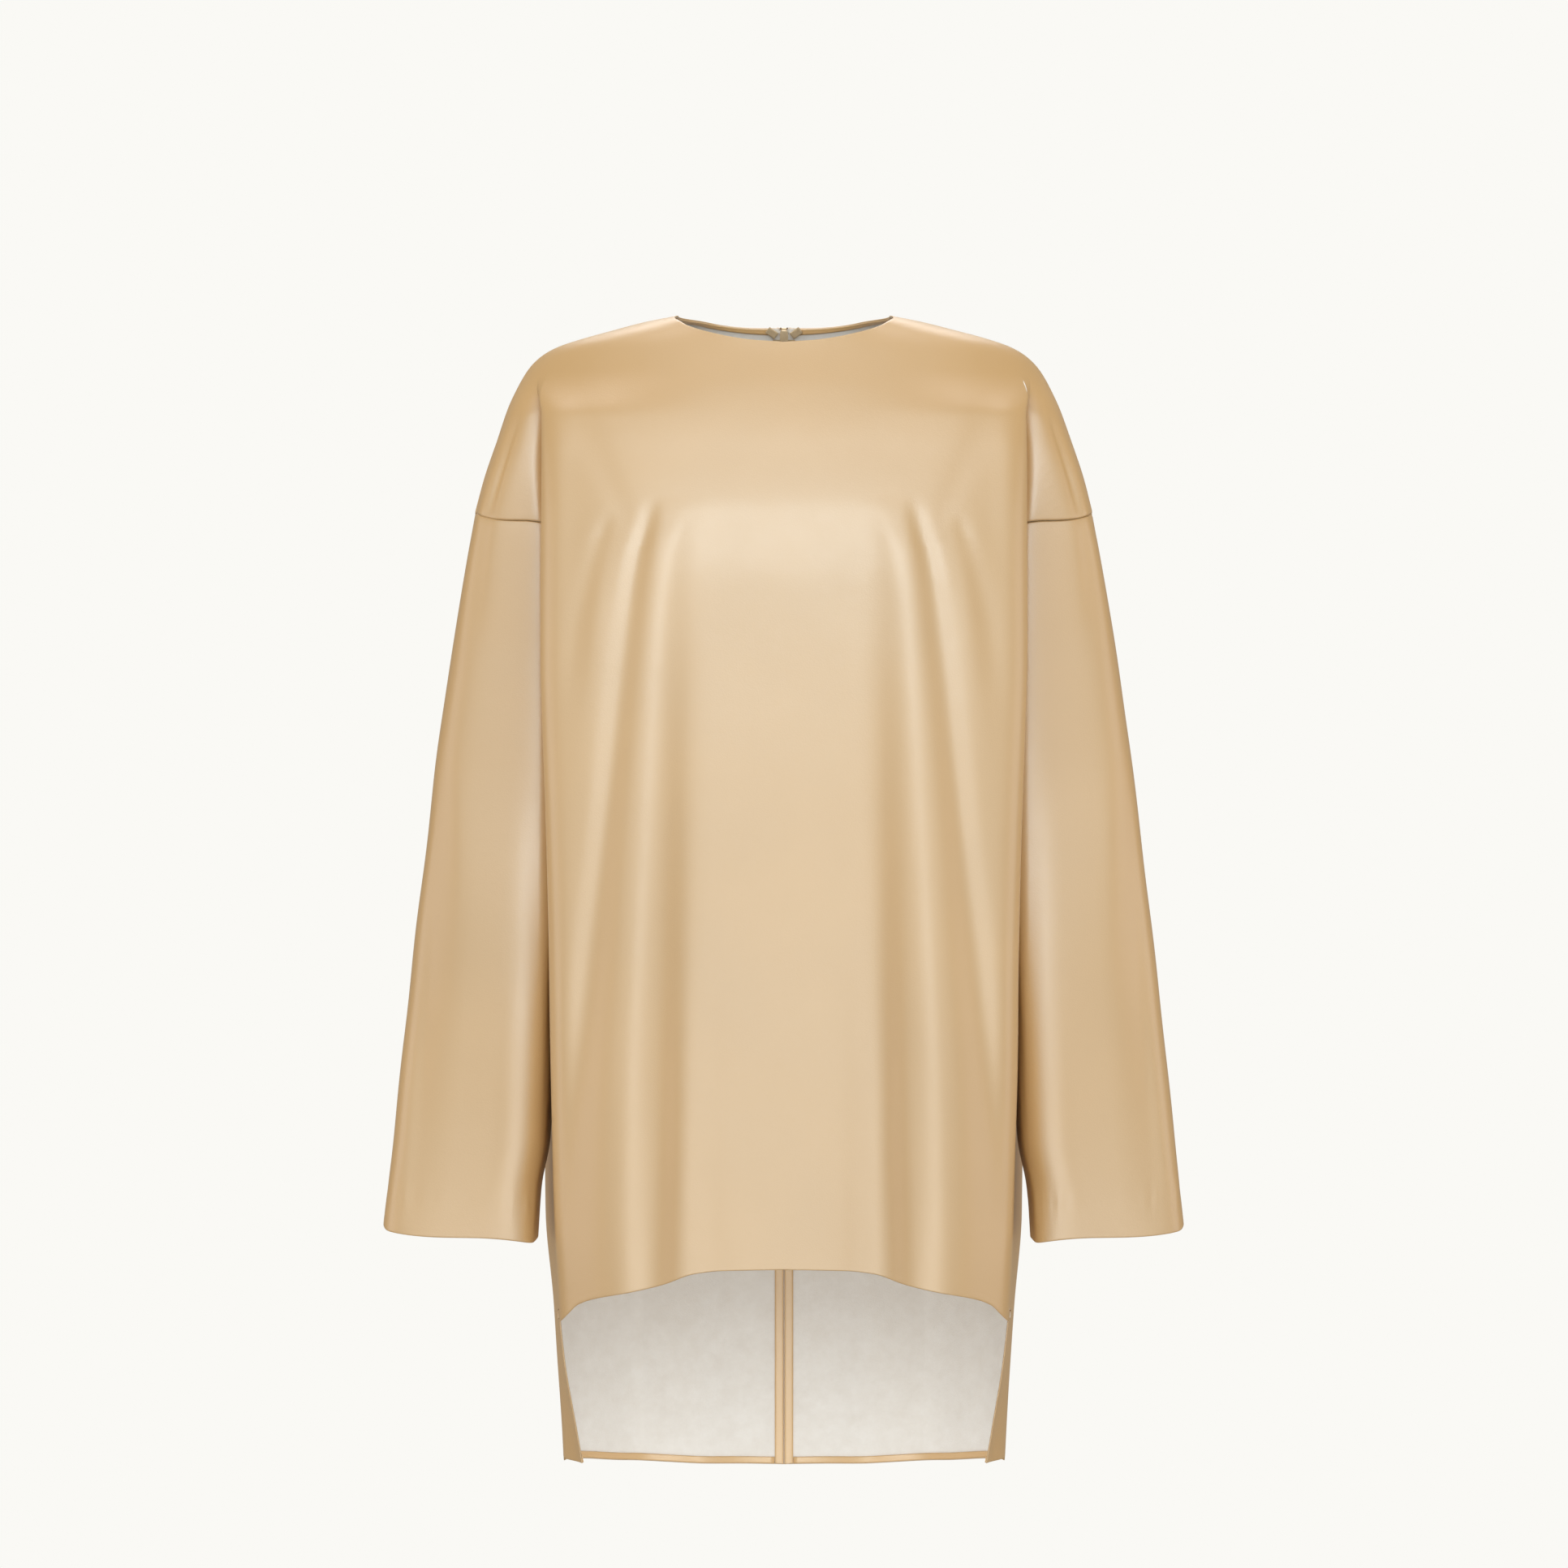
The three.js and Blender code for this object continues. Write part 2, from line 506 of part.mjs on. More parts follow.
// Vertices and four-sided faces, shared between neighbours, that become one wall of cloth.
class Cloth {
  constructor() {
    this.points = [];
    this.faces = [];
  }
  add(point) {
    this.points.push(point);
    return this.points.length - 1;
  }
  // Faces over a grid of vertex numbers. flip turns them to face out on a mirrored half.
  cover(grid, flip, wraps = false) {
    for (let r = 0; r + 1 < grid.length; r++) {
      const width = grid[r].length;
      for (let c = 0; c + (wraps ? 0 : 1) < width; c++) {
        const n = (c + 1) % width;
        const corners = [grid[r][c], grid[r][n], grid[r + 1][n], grid[r + 1][c]];
        if (corners.some((v) => v === null || v === undefined)) continue;
        this.faces.push(flip ? corners : [...corners].reverse());
      }
    }
  }
  normals() {
    const sums = this.points.map(() => [0, 0, 0]);
    for (const [a, b, c, d] of this.faces) {
      const p = this.points;
      const n = cross(sub(p[c], p[a]), sub(p[d], p[b]));
      for (const v of [a, b, c, d]) sums[v] = plus(sums[v], n);
    }
    return sums.map(unit);
  }
  // A closed wall: the outer points, the same points moved in, and a rim round every free edge.
  wall(thickness, offset = 0) {
    const normals = this.normals();
    const count = this.points.length;
    const positions = [];
    this.points.forEach((p, i) => positions.push(...plus(p, normals[i], -offset)));
    this.points.forEach((p, i) => positions.push(...plus(p, normals[i], -offset - thickness)));
    const index = [];
    const edges = new Map();
    for (const [a, b, c, d] of this.faces) {
      const p = this.points;
      const short = length(sub(p[a], p[c])) <= length(sub(p[b], p[d]));
      const triangles = short ? [[a, b, c], [a, c, d]] : [[a, b, d], [b, c, d]];
      for (const [i, j, k] of triangles) {
        index.push(i, j, k, i + count, k + count, j + count);
        for (const [s, e] of [[i, j], [j, k], [k, i]]) {
          if (edges.has(`${e},${s}`)) edges.delete(`${e},${s}`);
          else edges.set(`${s},${e}`, [s, e]);
        }
      }
    }
    for (const [s, e] of edges.values()) index.push(s, s + count, e, e, s + count, e + count);
    const geometry = new THREE.BufferGeometry();
    geometry.setAttribute("position", new THREE.Float32BufferAttribute(positions, 3));
    geometry.setIndex(index);
    geometry.computeVertexNormals();
    return geometry;
  }
}

const mirrored = ([x, y, z]) => [-x, y, z];

const LOWER_FRONT = [...HIDDEN_ARMHOLE, ...SIDE_LEVELS, -724, at(FRONT_HEM, "z", 165, "x")];
const LOWER_BACK = [...HIDDEN_ARMHOLE, ...SIDE_LEVELS, ...BACK_TAIL_LEVELS, BACK_HEM_SIDE];
const frontGrid = panelGrid(FRONT, FRONT_ROWS, FRONT_HEM, LOWER_FRONT, LOWER_FRONT.at(-1));
const backGrid = panelGrid(BACK, BACK_ROWS, BACK_HEM, LOWER_BACK, BACK_HEM_SIDE);
const YOKE_END = FRONT_ROWS.length - 1;

// Pulls a panel's edges back from the seams it shares, so that pieces stand clear of each other.
function trimmed(grid, shape, isFront) {
  const cut = grid.map((row) => row.map((p) => p && [...p]));
  cut.forEach((row, r) => {
    const last = r <= YOKE_END ? shape.total : shape.columns;
    let by = SEAM_SHIFT;
    if (isFront && row[last][2] < SLIT_TOP_Z) by = SLIT_SHIFT;
    if (!isFront && row[last][2] < SLIT_TOP_Z) by = 0;
    row[last] = shyOf(grid[r][last], grid[r][last - 1], by);
  });
  for (let c = shape.columns; c <= shape.total; c++) {
    cut[YOKE_END][c] = shyOf(cut[YOKE_END][c], cut[YOKE_END - 1][c]);
  }
  if (!isFront) {
    cut.forEach((row) => {
      const z = row[0][2];
      const open = clamp01((z - NOTCH_FOOT_Z) / (NOTCH_TOP_Z - NOTCH_FOOT_Z));
      row[0][0] = SEAM_SHIFT + NOTCH_HALF * open;
    });
  }
  return cut;
}
const frontCut = trimmed(frontGrid, FRONT, true);
const backCut = trimmed(backGrid, BACK, false);

const material = (colour, roughness, metalness = 0) =>
  new THREE.MeshStandardMaterial({ color: colour, roughness, metalness });
const MATERIALS = {
  cloth: material(0xdcc09a, 0.42),
  turned: material(0xd6b384, 0.5),
  tape: material(0xc9b58f, 0.85),
  zip: material(0xcdb98f, 0.45),
};

const top = new THREE.Group();
function addMesh(name, geometry, finish) {
  const mesh = new THREE.Mesh(geometry, MATERIALS[finish]);
  mesh.name = name;
  top.add(mesh);
  return mesh;
}

// The front is one piece, with no seam down its middle.
function frontPanel() {
  const cloth = new Cloth();
  const left = frontCut.map((row) => row.map((p) => (p ? cloth.add(p) : null)));
  const right = frontCut.map((row, r) =>
    row.map((p, c) => {
      if (!p) return null;
      return c === 0 ? left[r][0] : cloth.add(mirrored(p));
    }),
  );
  cloth.cover(left, false);
  cloth.cover(right, true);
  return cloth.wall(WALL);
}

function halfCloth(grid, isMirror, faceBack) {
  const cloth = new Cloth();
  const numbers = grid.map((row) => row.map((p) => (p ? cloth.add(isMirror ? mirrored(p) : p) : null)));
  cloth.cover(numbers, isMirror !== faceBack);
  return cloth;
}

// The loop of points that a sleeve hangs from, round from the shoulder seam over the front to the underarm
// and back over the back, as angles on the arm's tube with their levels.
function armholeLoop() {
  const loop = [];
  const overArm = (rows, sign) => {
    const { crease, ridge } = rows[YOKE_END];
    return Array.from({ length: ARM_COLUMNS + 1 }, (_, i) => {
      const t = i / ARM_COLUMNS;
      const z = mix(ridge, crease, t);
      return { deg: mix(at(ARM, "ridgeDeg", z), at(ARM, "creaseDeg", z) * sign, t), z };
    });
  };
  const hidden = HIDDEN_ARMHOLE.map((z) => ({ deg: at(ARM, "creaseDeg", z), z }));
  loop.push(...overArm(FRONT_ROWS, 1), ...hidden);
  loop.push(...hidden.slice(0, -1).reverse().map(({ deg, z }) => ({ deg: 360 - deg, z })));
  const overBack = overArm(BACK_ROWS, -1).slice(1).reverse();
  loop.push(...overBack.map(({ deg, z }) => ({ deg: 360 + deg, z })));
  return loop;
}

function sleeve(isMirror) {
  const loop = armholeLoop();
  const cloth = new Cloth();
  const rows = [];
  for (let r = 0; r <= SLEEVE_ROWS; r++) {
    const t = r / SLEEVE_ROWS;
    rows.push(
      loop.map(({ deg, z: top }) => {
        const lean = Math.cos(radians(deg));
        const cuff = CUFF_Z + CUFF_TILT * lean + CUFF_CORNER * Math.abs(lean) ** 14;
        const z = mix(top, cuff, t);
        return [...armPoint(deg, z), z];
      }),
    );
  }
  rows[0] = rows[0].map((p, i) => shyOf(p, rows[1][i], SEAM_SHIFT));
  const numbers = rows.map((row) => row.map((p) => cloth.add(isMirror ? mirrored(p) : p)));
  cloth.cover(numbers, !isMirror, true);
  return cloth.wall(WALL);
}

// A strip on the inside of a back panel, between two lines across its rows and columns.
function backStrip(pick, isMirror) {
  const cloth = halfCloth(backCut, isMirror, true);
  const inside = cloth.normals();
  const numbers = backCut.map((row) => row.map(() => null));
  let n = 0;
  for (const [r, row] of backCut.entries()) {
    for (const [c, p] of row.entries()) {
      if (p) numbers[r][c] = n++;
    }
  }
  const innerPoint = (r, c) => plus(cloth.points[numbers[r][c]], inside[numbers[r][c]], -WALL);
  const strip = new Cloth();
  const grid = pick(innerPoint).map((row) => row.map((p) => strip.add(p)));
  strip.cover(grid, isMirror !== true);
  return strip.wall(STRIP_WALL, LAYER_GAP);
}

const backRowLevel = (r) => backCut[r][0][2];
const rowsBetween = (from, to) =>
  [...backCut.keys()].filter((r) => backRowLevel(r) <= from && backRowLevel(r) >= to);
const shareAt = (a, b, width) => width / length(sub(a, b));

// A band along the column next to the centre back, such as the zip's tape or a pressed-open seam.
const centreBand = (rows, width) => (point) =>
  rows.map((r) => {
    const a = point(r, 0);
    const b = point(r, 1);
    return [a, between(a, b, shareAt(a, b, width))];
  });

function neckTurn(point) {
  const lines = [[], []];
  for (let c = 0; c < BACK.total; c++) {
    const a = point(0, c);
    const b = point(1, c);
    const start = c === 0 ? between(a, point(0, 1), NECK_TURN_START) : a;
    const foot = c === 0 ? between(b, point(1, 1), NECK_TURN_START) : b;
    lines[0].push(start);
    lines[1].push(between(start, foot, Math.min(NECK_TURN_MOST, shareAt(start, foot, NECK_TURN))));
  }
  return lines;
}

function hemTurn(point) {
  const last = backCut.length - 1;
  const lines = [[], []];
  for (let c = 0; c <= BACK.columns; c++) {
    const a = point(last, c);
    const b = point(last - 1, c);
    const clear = (SEAM_ALLOWANCE + 2 * LAYER_GAP) / length(sub(point(last, 0), point(last, 1)));
    const start = c === 0 ? between(a, point(last, 1), clear) : a;
    const head = c === 0 ? between(b, point(last - 1, 1), clear) : b;
    lines[1].push(start);
    lines[0].push(between(start, head, shareAt(start, head, HEM_TURN)));
  }
  return lines;
}

addMesh("front_panel", frontPanel(), "cloth");
const BACK_END = backCut.at(-1)[0][2];
const zipRows = rowsBetween(NOTCH_FOOT_Z, ZIP_END_Z);
const seamRows = rowsBetween(ZIP_END_Z, BACK_END);
for (const [hand, isMirror] of [["left", false], ["right", true]]) {
  addMesh(`back_panel_${hand}`, halfCloth(backCut, isMirror, true).wall(WALL), "cloth");
  addMesh(`sleeve_${hand}`, sleeve(isMirror), "cloth");
  addMesh(`neck_turning_${hand}`, backStrip(neckTurn, isMirror), "turned");
  addMesh(`back_seam_allowance_${hand}`, backStrip(centreBand(seamRows, SEAM_ALLOWANCE), isMirror), "turned");
  addMesh(`back_hem_turning_${hand}`, backStrip(hemTurn, isMirror), "turned");
  addMesh(`zip_tape_${hand}`, backStrip(centreBand(zipRows, ZIP_TAPE), isMirror), "tape");
}

// The zip's hard parts, on a plane that leans with the back of the neck.
const wasm = await Module();
wasm.setup();
const { Manifold, CrossSection } = wasm;

// A plate of the given outline, in x and z, from one depth to a greater one.
function plate(outline, start, thickness) {
  const flat = new CrossSection([outline]);
  return flat.extrude(thickness).rotate([90, 0, 0]).translate([0, start + thickness, 0]);
}
const box = (x0, y0, z0, x1, y1, z1) => Manifold.cube([x1 - x0, y1 - y0, z1 - z0]).translate([x0, y0, z0]);

function sliderSolid() {
  const { halfWidth: w, shoulder: s, top: head, foot, inner, thickness } = SLIDER_PLATE;
  const left = [[-s, head], [-w, head - 3.4], [-w, foot + 1.2], [-s, foot]];
  const right = left.map(([x, z]) => [-x, z]).reverse();
  const outline = [...left, ...right];
  const { start, thickness: outer } = SLIDER_OUTER;
  const face = start + outer;
  const { halfWidth: b, top: high, foot: low, rise, bar } = BRIDGE;
  const bridge = box(-b, face - 0.2, low, b, face + rise, high);
  const opening = box(-b - 1, face, low + bar, b + 1, face + rise - bar, high - bar);
  const { halfWidth: n, top: neckTop, foot: neckFoot } = SLIDER_NECK;
  return plate(outline, inner - thickness, thickness)
    .add(plate(outline, start, outer))
    .add(box(-n, inner - 0.2, neckFoot, n, start + 0.2, neckTop))
    .add(bridge.subtract(opening));
}

// The pull hangs from a bar that passes through the slider's bridge; its eye clears the bridge as it swings.
function pullSolid() {
  const { width, length: long, thickness, eyeWidth, eyeReach } = PULL;
  const w = width / 2;
  const bar = thickness / 2;
  const foot = bar - long;
  const left = [[-w + 0.8, bar], [-w, bar - 0.8], [-w, foot + 1.6], [-w + 1.6, foot]];
  const right = left.map(([x, z]) => [-x, z]).reverse();
  const outline = [...left, ...right];
  const eye = box(-eyeWidth / 2, -thickness, -eyeReach, eyeWidth / 2, thickness, -bar);
  return plate(outline, -bar, thickness).subtract(eye);
}

function geometryOf(solid) {
  const { numProp, vertProperties, triVerts } = solid.getMesh();
  const geometry = new THREE.BufferGeometry();
  const positions = Array.from(vertProperties).filter((_, i) => i % numProp < 3);
  geometry.setAttribute("position", new THREE.Float32BufferAttribute(positions, 3));
  geometry.setIndex(Array.from(triVerts));
  return geometry;
}

// Places a solid on the leaning plane at the head of the zip, after a turn in that plane.
function onZip(name, solid, finish, turnDeg, x, y, z) {
  const mesh = addMesh(name, geometryOf(solid), finish);
  const turn = new THREE.Matrix4().makeRotationY(radians(turnDeg));
  const place = new THREE.Matrix4().makeTranslation(x, y, z);
  const lean = new THREE.Matrix4().makeRotationX(radians(ZIP_LEAN_DEG));
  const head = new THREE.Matrix4().makeTranslation(0, at(CENTRE, "back", ZIP_HEAD_Z), ZIP_HEAD_Z);
  mesh.geometry.applyMatrix4(head.multiply(lean).multiply(place).multiply(turn));
  return mesh;
}

const { width: endWidth, height: endHeight, depth: endDepth } = TAPE_END;
for (const [hand, side] of [["left", 1], ["right", -1]]) {
  const fold = box(-endWidth / 2, -endDepth / 2, -endHeight / 2, endWidth / 2, endDepth / 2, endHeight / 2);
  const { tiltDeg, x, y, z } = TAPE_END;
  onZip(`zip_tape_end_${hand}`, fold, "tape", -side * tiltDeg, side * x, y, z);
}
onZip("zip_slider", sliderSolid(), "zip", 0, 0, 0, 0);
onZip("zip_pull", pullSolid(), "zip", 0, 0, PULL.y, PULL.z);

export default top;
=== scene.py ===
"""Looks of the long-sleeve top: fine cloth shells over the frame's solids, its seams, zip and studio.

The cloth is worked out here from the same named sizes as the solids, in millimetres, and made in metres.
"""

import math

import bpy
import numpy as np
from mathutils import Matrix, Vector


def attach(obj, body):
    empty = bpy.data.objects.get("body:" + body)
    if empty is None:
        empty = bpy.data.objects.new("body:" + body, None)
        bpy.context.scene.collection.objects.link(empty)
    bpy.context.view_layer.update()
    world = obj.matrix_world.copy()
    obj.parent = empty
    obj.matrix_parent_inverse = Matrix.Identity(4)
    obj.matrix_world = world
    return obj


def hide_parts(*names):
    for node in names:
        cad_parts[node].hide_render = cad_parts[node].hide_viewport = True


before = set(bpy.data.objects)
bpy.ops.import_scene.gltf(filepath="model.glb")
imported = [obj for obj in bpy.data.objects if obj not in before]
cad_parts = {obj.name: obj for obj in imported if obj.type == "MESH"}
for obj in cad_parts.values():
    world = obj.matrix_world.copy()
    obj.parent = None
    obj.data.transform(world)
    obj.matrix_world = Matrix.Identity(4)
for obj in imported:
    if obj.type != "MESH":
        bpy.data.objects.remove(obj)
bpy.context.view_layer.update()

MM = 0.001
CLOTH = 1.0  # thickness of the cloth
STRIP = 0.5  # thickness of a turned-in edge
UNDERARM_Z = -290
SLIT_TOP_Z = -731.6
HANDS = ("left", "right")
ZIP_END_Z = -240


def table(columns, *rows):
    """Rows of numbers under named columns."""
    names = columns.split()
    return [dict(zip(names, row)) for row in rows]


def folds(columns, *lists):
    """A table for each list of rows."""
    return [table(columns, *rows) for rows in lists]


CENTRE = table(
    "z front back",
    (0, -57, 59), (-25, -69, 71), (-60, -89, 88), (-100, -107, 102), (-150, -122, 112),
    (-200, -126, 116), (-300, -125, 117), (-450, -121, 118), (-600, -119, 120), (-740, -118, 123),
    (-870, -118, 126),
)
SIDES = table(
    "z roll_x roll_y seam_x seam_y back_x back_y",
    (-45, 177, -53, 162, 2, 176, 52),
    (-75, 176.6, -69.5, 162, 2, 175, 60),
    (-110, 176.5, -82, 162, 1.6, 174.6, 66.5),
    (-157, 176.5, -90, 162, 1, 174, 72),
    (-255, 176.5, -97, 161.6, 0, 173, 80),
    (-290, 175.6, -98, 161.4, 0, 173, 81),
    (-340, 173.8, -97, 160.5, 0, 173, 80),
    (-435, 171.1, -92, 161.5, -4, 174, 76),
    (-520, 170.0, -86, 163.5, -12, 176, 67),
    (-603, 168.7, -78, 168.2, -27, 178.3, 54),
    (-664, 167.2, -70, 167.4, -29, 177.6, 46),
    (-731, 164.6, -60, 165.8, -30, 171.6, 39),
    (-769, 162, -55, 162.4, -26, 169.2, 37),
    (-821, 155, -50, 153.9, -16, 165.7, 35),
    (-870, 147, -45, 145.6, -8, 163, 33),
)
SHOULDER = table(
    "z x",
    (0, 78), (-5, 104), (-11, 128), (-17, 150.5), (-23, 168), (-29, 178.5), (-37, 187),
    (-47, 193.6), (-65, 202.5),
)
SHOULDER_Y = 6
ARM = table(
    "z in_x out_x mid_y half_y crease ridge",
    (-45, 150, 192.7, 5, 46, 88, 0),
    (-65, 155.5, 202.5, 4.5, 50, 100, 0),
    (-89, 159.5, 211, 4, 54, 110, 3),
    (-125, 162, 222.3, 3.5, 58, 121, 14),
    (-162, 163, 230.7, 3, 61, 131, 25),
    (-234, 162.5, 242.7, 1, 63, 157, 25),
    (-290, 162.2, 251, 0, 63, 180, 25),
    (-340, 163.6, 258, -3, 62, 180, 25),
    (-435, 166, 269, -10, 58, 180, 25),
    (-520, 168.8, 278.2, -16, 53, 180, 25),
    (-606, 171.8, 287.2, -21, 46, 180, 25),
    (-643, 178.3, 291.4, -23, 42, 180, 25),
    (-690, 181.8, 296.2, -25, 38, 180, 25),
)
ARM_BULGE = 2.35
ARM_FLATNESS = 2.6
ARM_FACE = {"start": -40, "run": 90, "end": 150, "end_run": 30}  # degrees of the arm's flatter front
ARM_TURN = 0.18
ARM_TURN_X = 178
ARM_TURN_EASE = -450
ARM_TURN_EASE_RUN = 200
ARM_TURN_LOSS = 0.6
ARM_TURN_START = -62
ARM_TURN_RUN = 120
CUFF_Z = -677.5
CUFF_TILT = 5.1
CUFF_CORNER = 3
SLEEVE_HEM = 27
HEM_SHARE = 0.95
YOKE_ROWS = table(
    "i front_centre front_crease front_ridge back_centre back_crease back_ridge",
    (0, -23.5, -4.2, 0, -4.8, -0.9, 0),
    (1, -38, -8, -3.2, -13, -4.6, -1.8),
    (2, -54, -13, -7.5, -30, -9.5, -5),
    (3, -70, -18.5, -12, -50, -16.5, -11),
    (4, -86, -25, -17.5, -70, -25, -17.5),
    (5, -101, -34, -25, -90, -35, -26),
    (6, -115, -45, -35, -108, -47, -37),
    (7, -128, -59, -48, -124, -61, -51),
    (8, -140, -75, -65, -138, -77, -67),
    (9, -151, -93, -84, -150, -95, -86),
    (10, -161, -113, -104, -161, -114, -105),
    (11, -172, -135, -125, -172, -135, -125),
    (12, -184, -157, -146.6, -184, -157, -146.6),
)
YOKE_END = 12
CROSSING_Z = -157
NECK_EDGE = table(
    "share front back",
    (0, -23.5, -4.8), (0.144, -21.8, -4.8), (0.241, -19.6, -4.7), (0.36, -16.2, -4.1),
    (0.535, -11.2, -2.7), (0.69, -6.6, -1.3), (0.81, -3.9, -0.6), (0.9, -2, -0.3), (1, 0, 0),
)
NECK_EASE_ROWS = 7
HEM = {
    "front": table(
        "x z",
        (0, -697.3), (45, -698.3), (65, -700.7), (84, -707), (108, -712.6), (137, -718.6),
        (149, -723.5), (157, -731), (165, -739),
    ),
    "back": table("x z", (0, -861.4), (60, -860), (120, -856.5), (150, -852), (165, -849.5)),
}
HEM_SIDE = {"front": -739, "back": -847}
SQUARENESS = table(
    "z front back",
    (0, 2.3, 2.3), (-60, 2.6, 2.4), (-160, 3.1, 2.6), (-560, 3.0, 2.6), (-740, 2.5, 2.5),
    (-870, 2.5, 2.5),
)
CREASE_START = -43
CREASE_FULL = -78
CREASE_ROOM = 3.2
TUCK_START = -157
TUCK_RUN = 12
TUCK_SHARE = 0.45
UNDERARM_RUN = 40
CREASE_LEAN = (-0.35, -0.95)  # the way the body's cloth arrives at the arm
BODY_SHARE = 0.9  # of the way to the ridge, where the body's front or back ends
TURN_SHARE = 0.93  # and where the arm begins
TURN_Z = -65
BODY_COLUMNS = {"front": 18, "back": 9}
TURN_COLUMNS = 4
ARM_COLUMNS = 5
NOTCH_TOP_Z = -4.8
NOTCH_FOOT_Z = -13
NOTCH_HALF = 4

# Soft folds of the front, with their widths towards the centre and towards the side.
FOLD = "z x push inner outer"
FRONT_FOLDS = folds(
    FOLD,
    [
        (-138, 72, 0, 12, 30), (-160, 78, 2.2, 13, 34), (-186, 87, 4, 18, 40),
        (-246, 94.5, 6, 23, 46), (-366, 102, 9, 26, 54), (-486, 110, 12, 29, 58),
        (-606, 117, 14, 33, 60), (-700, 121, 15, 37, 60),
    ],
    [
        (-138, 92, 0, 5, 7), (-160, 97, -2, 5, 7), (-186, 104, -2.9, 6.5, 8),
        (-246, 112, -2.9, 8, 10), (-366, 125.5, -3.8, 10, 10), (-486, 138, -4.4, 13, 12),
        (-606, 150, -3.8, 14, 12), (-700, 156, -2.6, 14, 12),
    ],
    [
        (-140, 130, 0, 10, 16), (-180, 134, 1.2, 10, 18), (-246, 140, 1.8, 12, 20),
        (-366, 156, 2.2, 18, 20), (-486, 164, 2.4, 17, 20), (-606, 168, 2, 14, 20),
        (-700, 168, 1, 12, 20),
    ],
    [
        (-150, 125, 0, 4, 6), (-163, 129, -1.1, 5, 7), (-195, 138, -1.4, 7, 9),
        (-232, 146, -1, 8, 9), (-290, 153, 0, 9, 8),
    ],
    [
        (-36, 157, 0, 12, 10), (-60, 152, -0.4, 14, 14), (-90, 141, -0.6, 13, 14),
        (-122, 127, -0.6, 11, 12), (-145, 117, -0.4, 9, 10), (-165, 108, 0, 7, 7),
    ],
    [
        (-250, 68, 0, 13, 9), (-366, 70, -1.1, 14, 9), (-486, 72, -2.8, 15, 9.5),
        (-606, 74, -5.2, 17, 10), (-700, 76, -5.8, 18, 11),
    ],
    [
        (-56, 170, 0, 16, 20), (-110, 171, 3.4, 16, 20), (-300, 171, 4.8, 16, 20),
        (-500, 168, 4.4, 16, 20), (-600, 167, 1.6, 15, 20), (-655, 166, 2.2, 14, 20),
        (-690, 165, 5, 14, 20), (-735, 163, 6, 14, 20),
    ],
)
RECESS_INNER = 47
RECESS_OUTER = 90
RECESS = table("z depth", (-150, 0), (-260, 1.7), (-450, 5), (-700, 8))
BACK_FOLDS = folds(
    FOLD,
    [
        (-170, 88, 0, 18, 18), (-300, 96, 5, 16, 17), (-600, 106, 8, 20, 20),
        (-865, 110, 8, 22, 22),
    ],
    [
        (-220, 56, 0, 18, 12), (-400, 58, -3.4, 19, 12), (-865, 60, -5.4, 22, 15),
    ],
    [
        (-178, 112, 0, 6, 7), (-230, 121, -3.4, 7, 9), (-380, 136, -4, 10, 12),
        (-560, 148, -3, 13, 12), (-760, 150, 0, 14, 12),
    ],
    [
        (-60, 148, 0, 11, 11), (-92, 138, -2.6, 10, 10), (-130, 124, -2.6, 9, 9),
        (-165, 112, 0, 8, 8),
    ],
)
# Folds round an arm: the angle from its outermost line towards the front, and the width in degrees.
ARM_FOLD = "z deg push below above"
YOKE_ARM_FOLDS = folds(
    ARM_FOLD,
    [
        (-72, 60, 0, 10, 9), (-90, 62, -2.2, 10, 8), (-118, 65, -3.2, 10, 7),
        (-144, 67, -2.2, 10, 8), (-157, 68, -1.2, 12, 8),
    ],
    [
        (-76, 92, 0, 12, 12), (-104, 92, 1.6, 12, 12), (-140, 96, 2, 13, 12),
        (-157, 98, 1.4, 13, 12),
    ],
)
SLEEVE_FOLDS = folds(
    ARM_FOLD,
    [
        (-170, 130, 0, 14, 12), (-240, 132, 2.2, 16, 12), (-420, 134, 3, 18, 12),
        (-560, 134, 1.5, 18, 12), (-640, 134, 0, 18, 12),
    ],
    [
        (-157, 67, -1.6, 14, 10), (-200, 70, -1.8, 18, 12), (-260, 76, 0, 22, 16),
    ],
    [
        (-330, 76, 0, 12, 16), (-390, 84, 2.2, 12, 20), (-470, 92, 4.2, 12, 24),
        (-560, 98, 4.4, 13, 26), (-630, 100, 2.6, 13, 26), (-664, 100, 0.8, 14, 26),
        (-684, 100, 0, 14, 26),
    ],
    [
        (-440, 138, 0, 14, 14), (-520, 136, -0.8, 16, 16), (-600, 134, -1.0, 16, 16),
        (-660, 134, -0.6, 16, 16), (-680, 134, -0.3, 16, 16),
    ],
    [
        (-300, 48, 0, 14, 14), (-400, 54, -1.2, 14, 14), (-520, 64, -2, 14, 13),
        (-640, 70, -1, 14, 13), (-676, 72, 0, 14, 13),
    ],
    [
        (-330, 286, 0, 16, 16), (-430, 276, 3, 18, 16), (-560, 266, 4, 20, 16),
        (-670, 262, 0, 20, 16),
    ],
    [
        (-300, 240, 0, 14, 14), (-420, 236, -2.6, 14, 14), (-600, 228, -3, 16, 16),
        (-676, 226, 0, 16, 16),
    ],
)
# The right half's folds differ a little from the left's.
UNEVEN = {"left": {"push": 1.0, "shift": 0.0}, "right": {"push": 0.94, "shift": 1.3}}

curves = {}


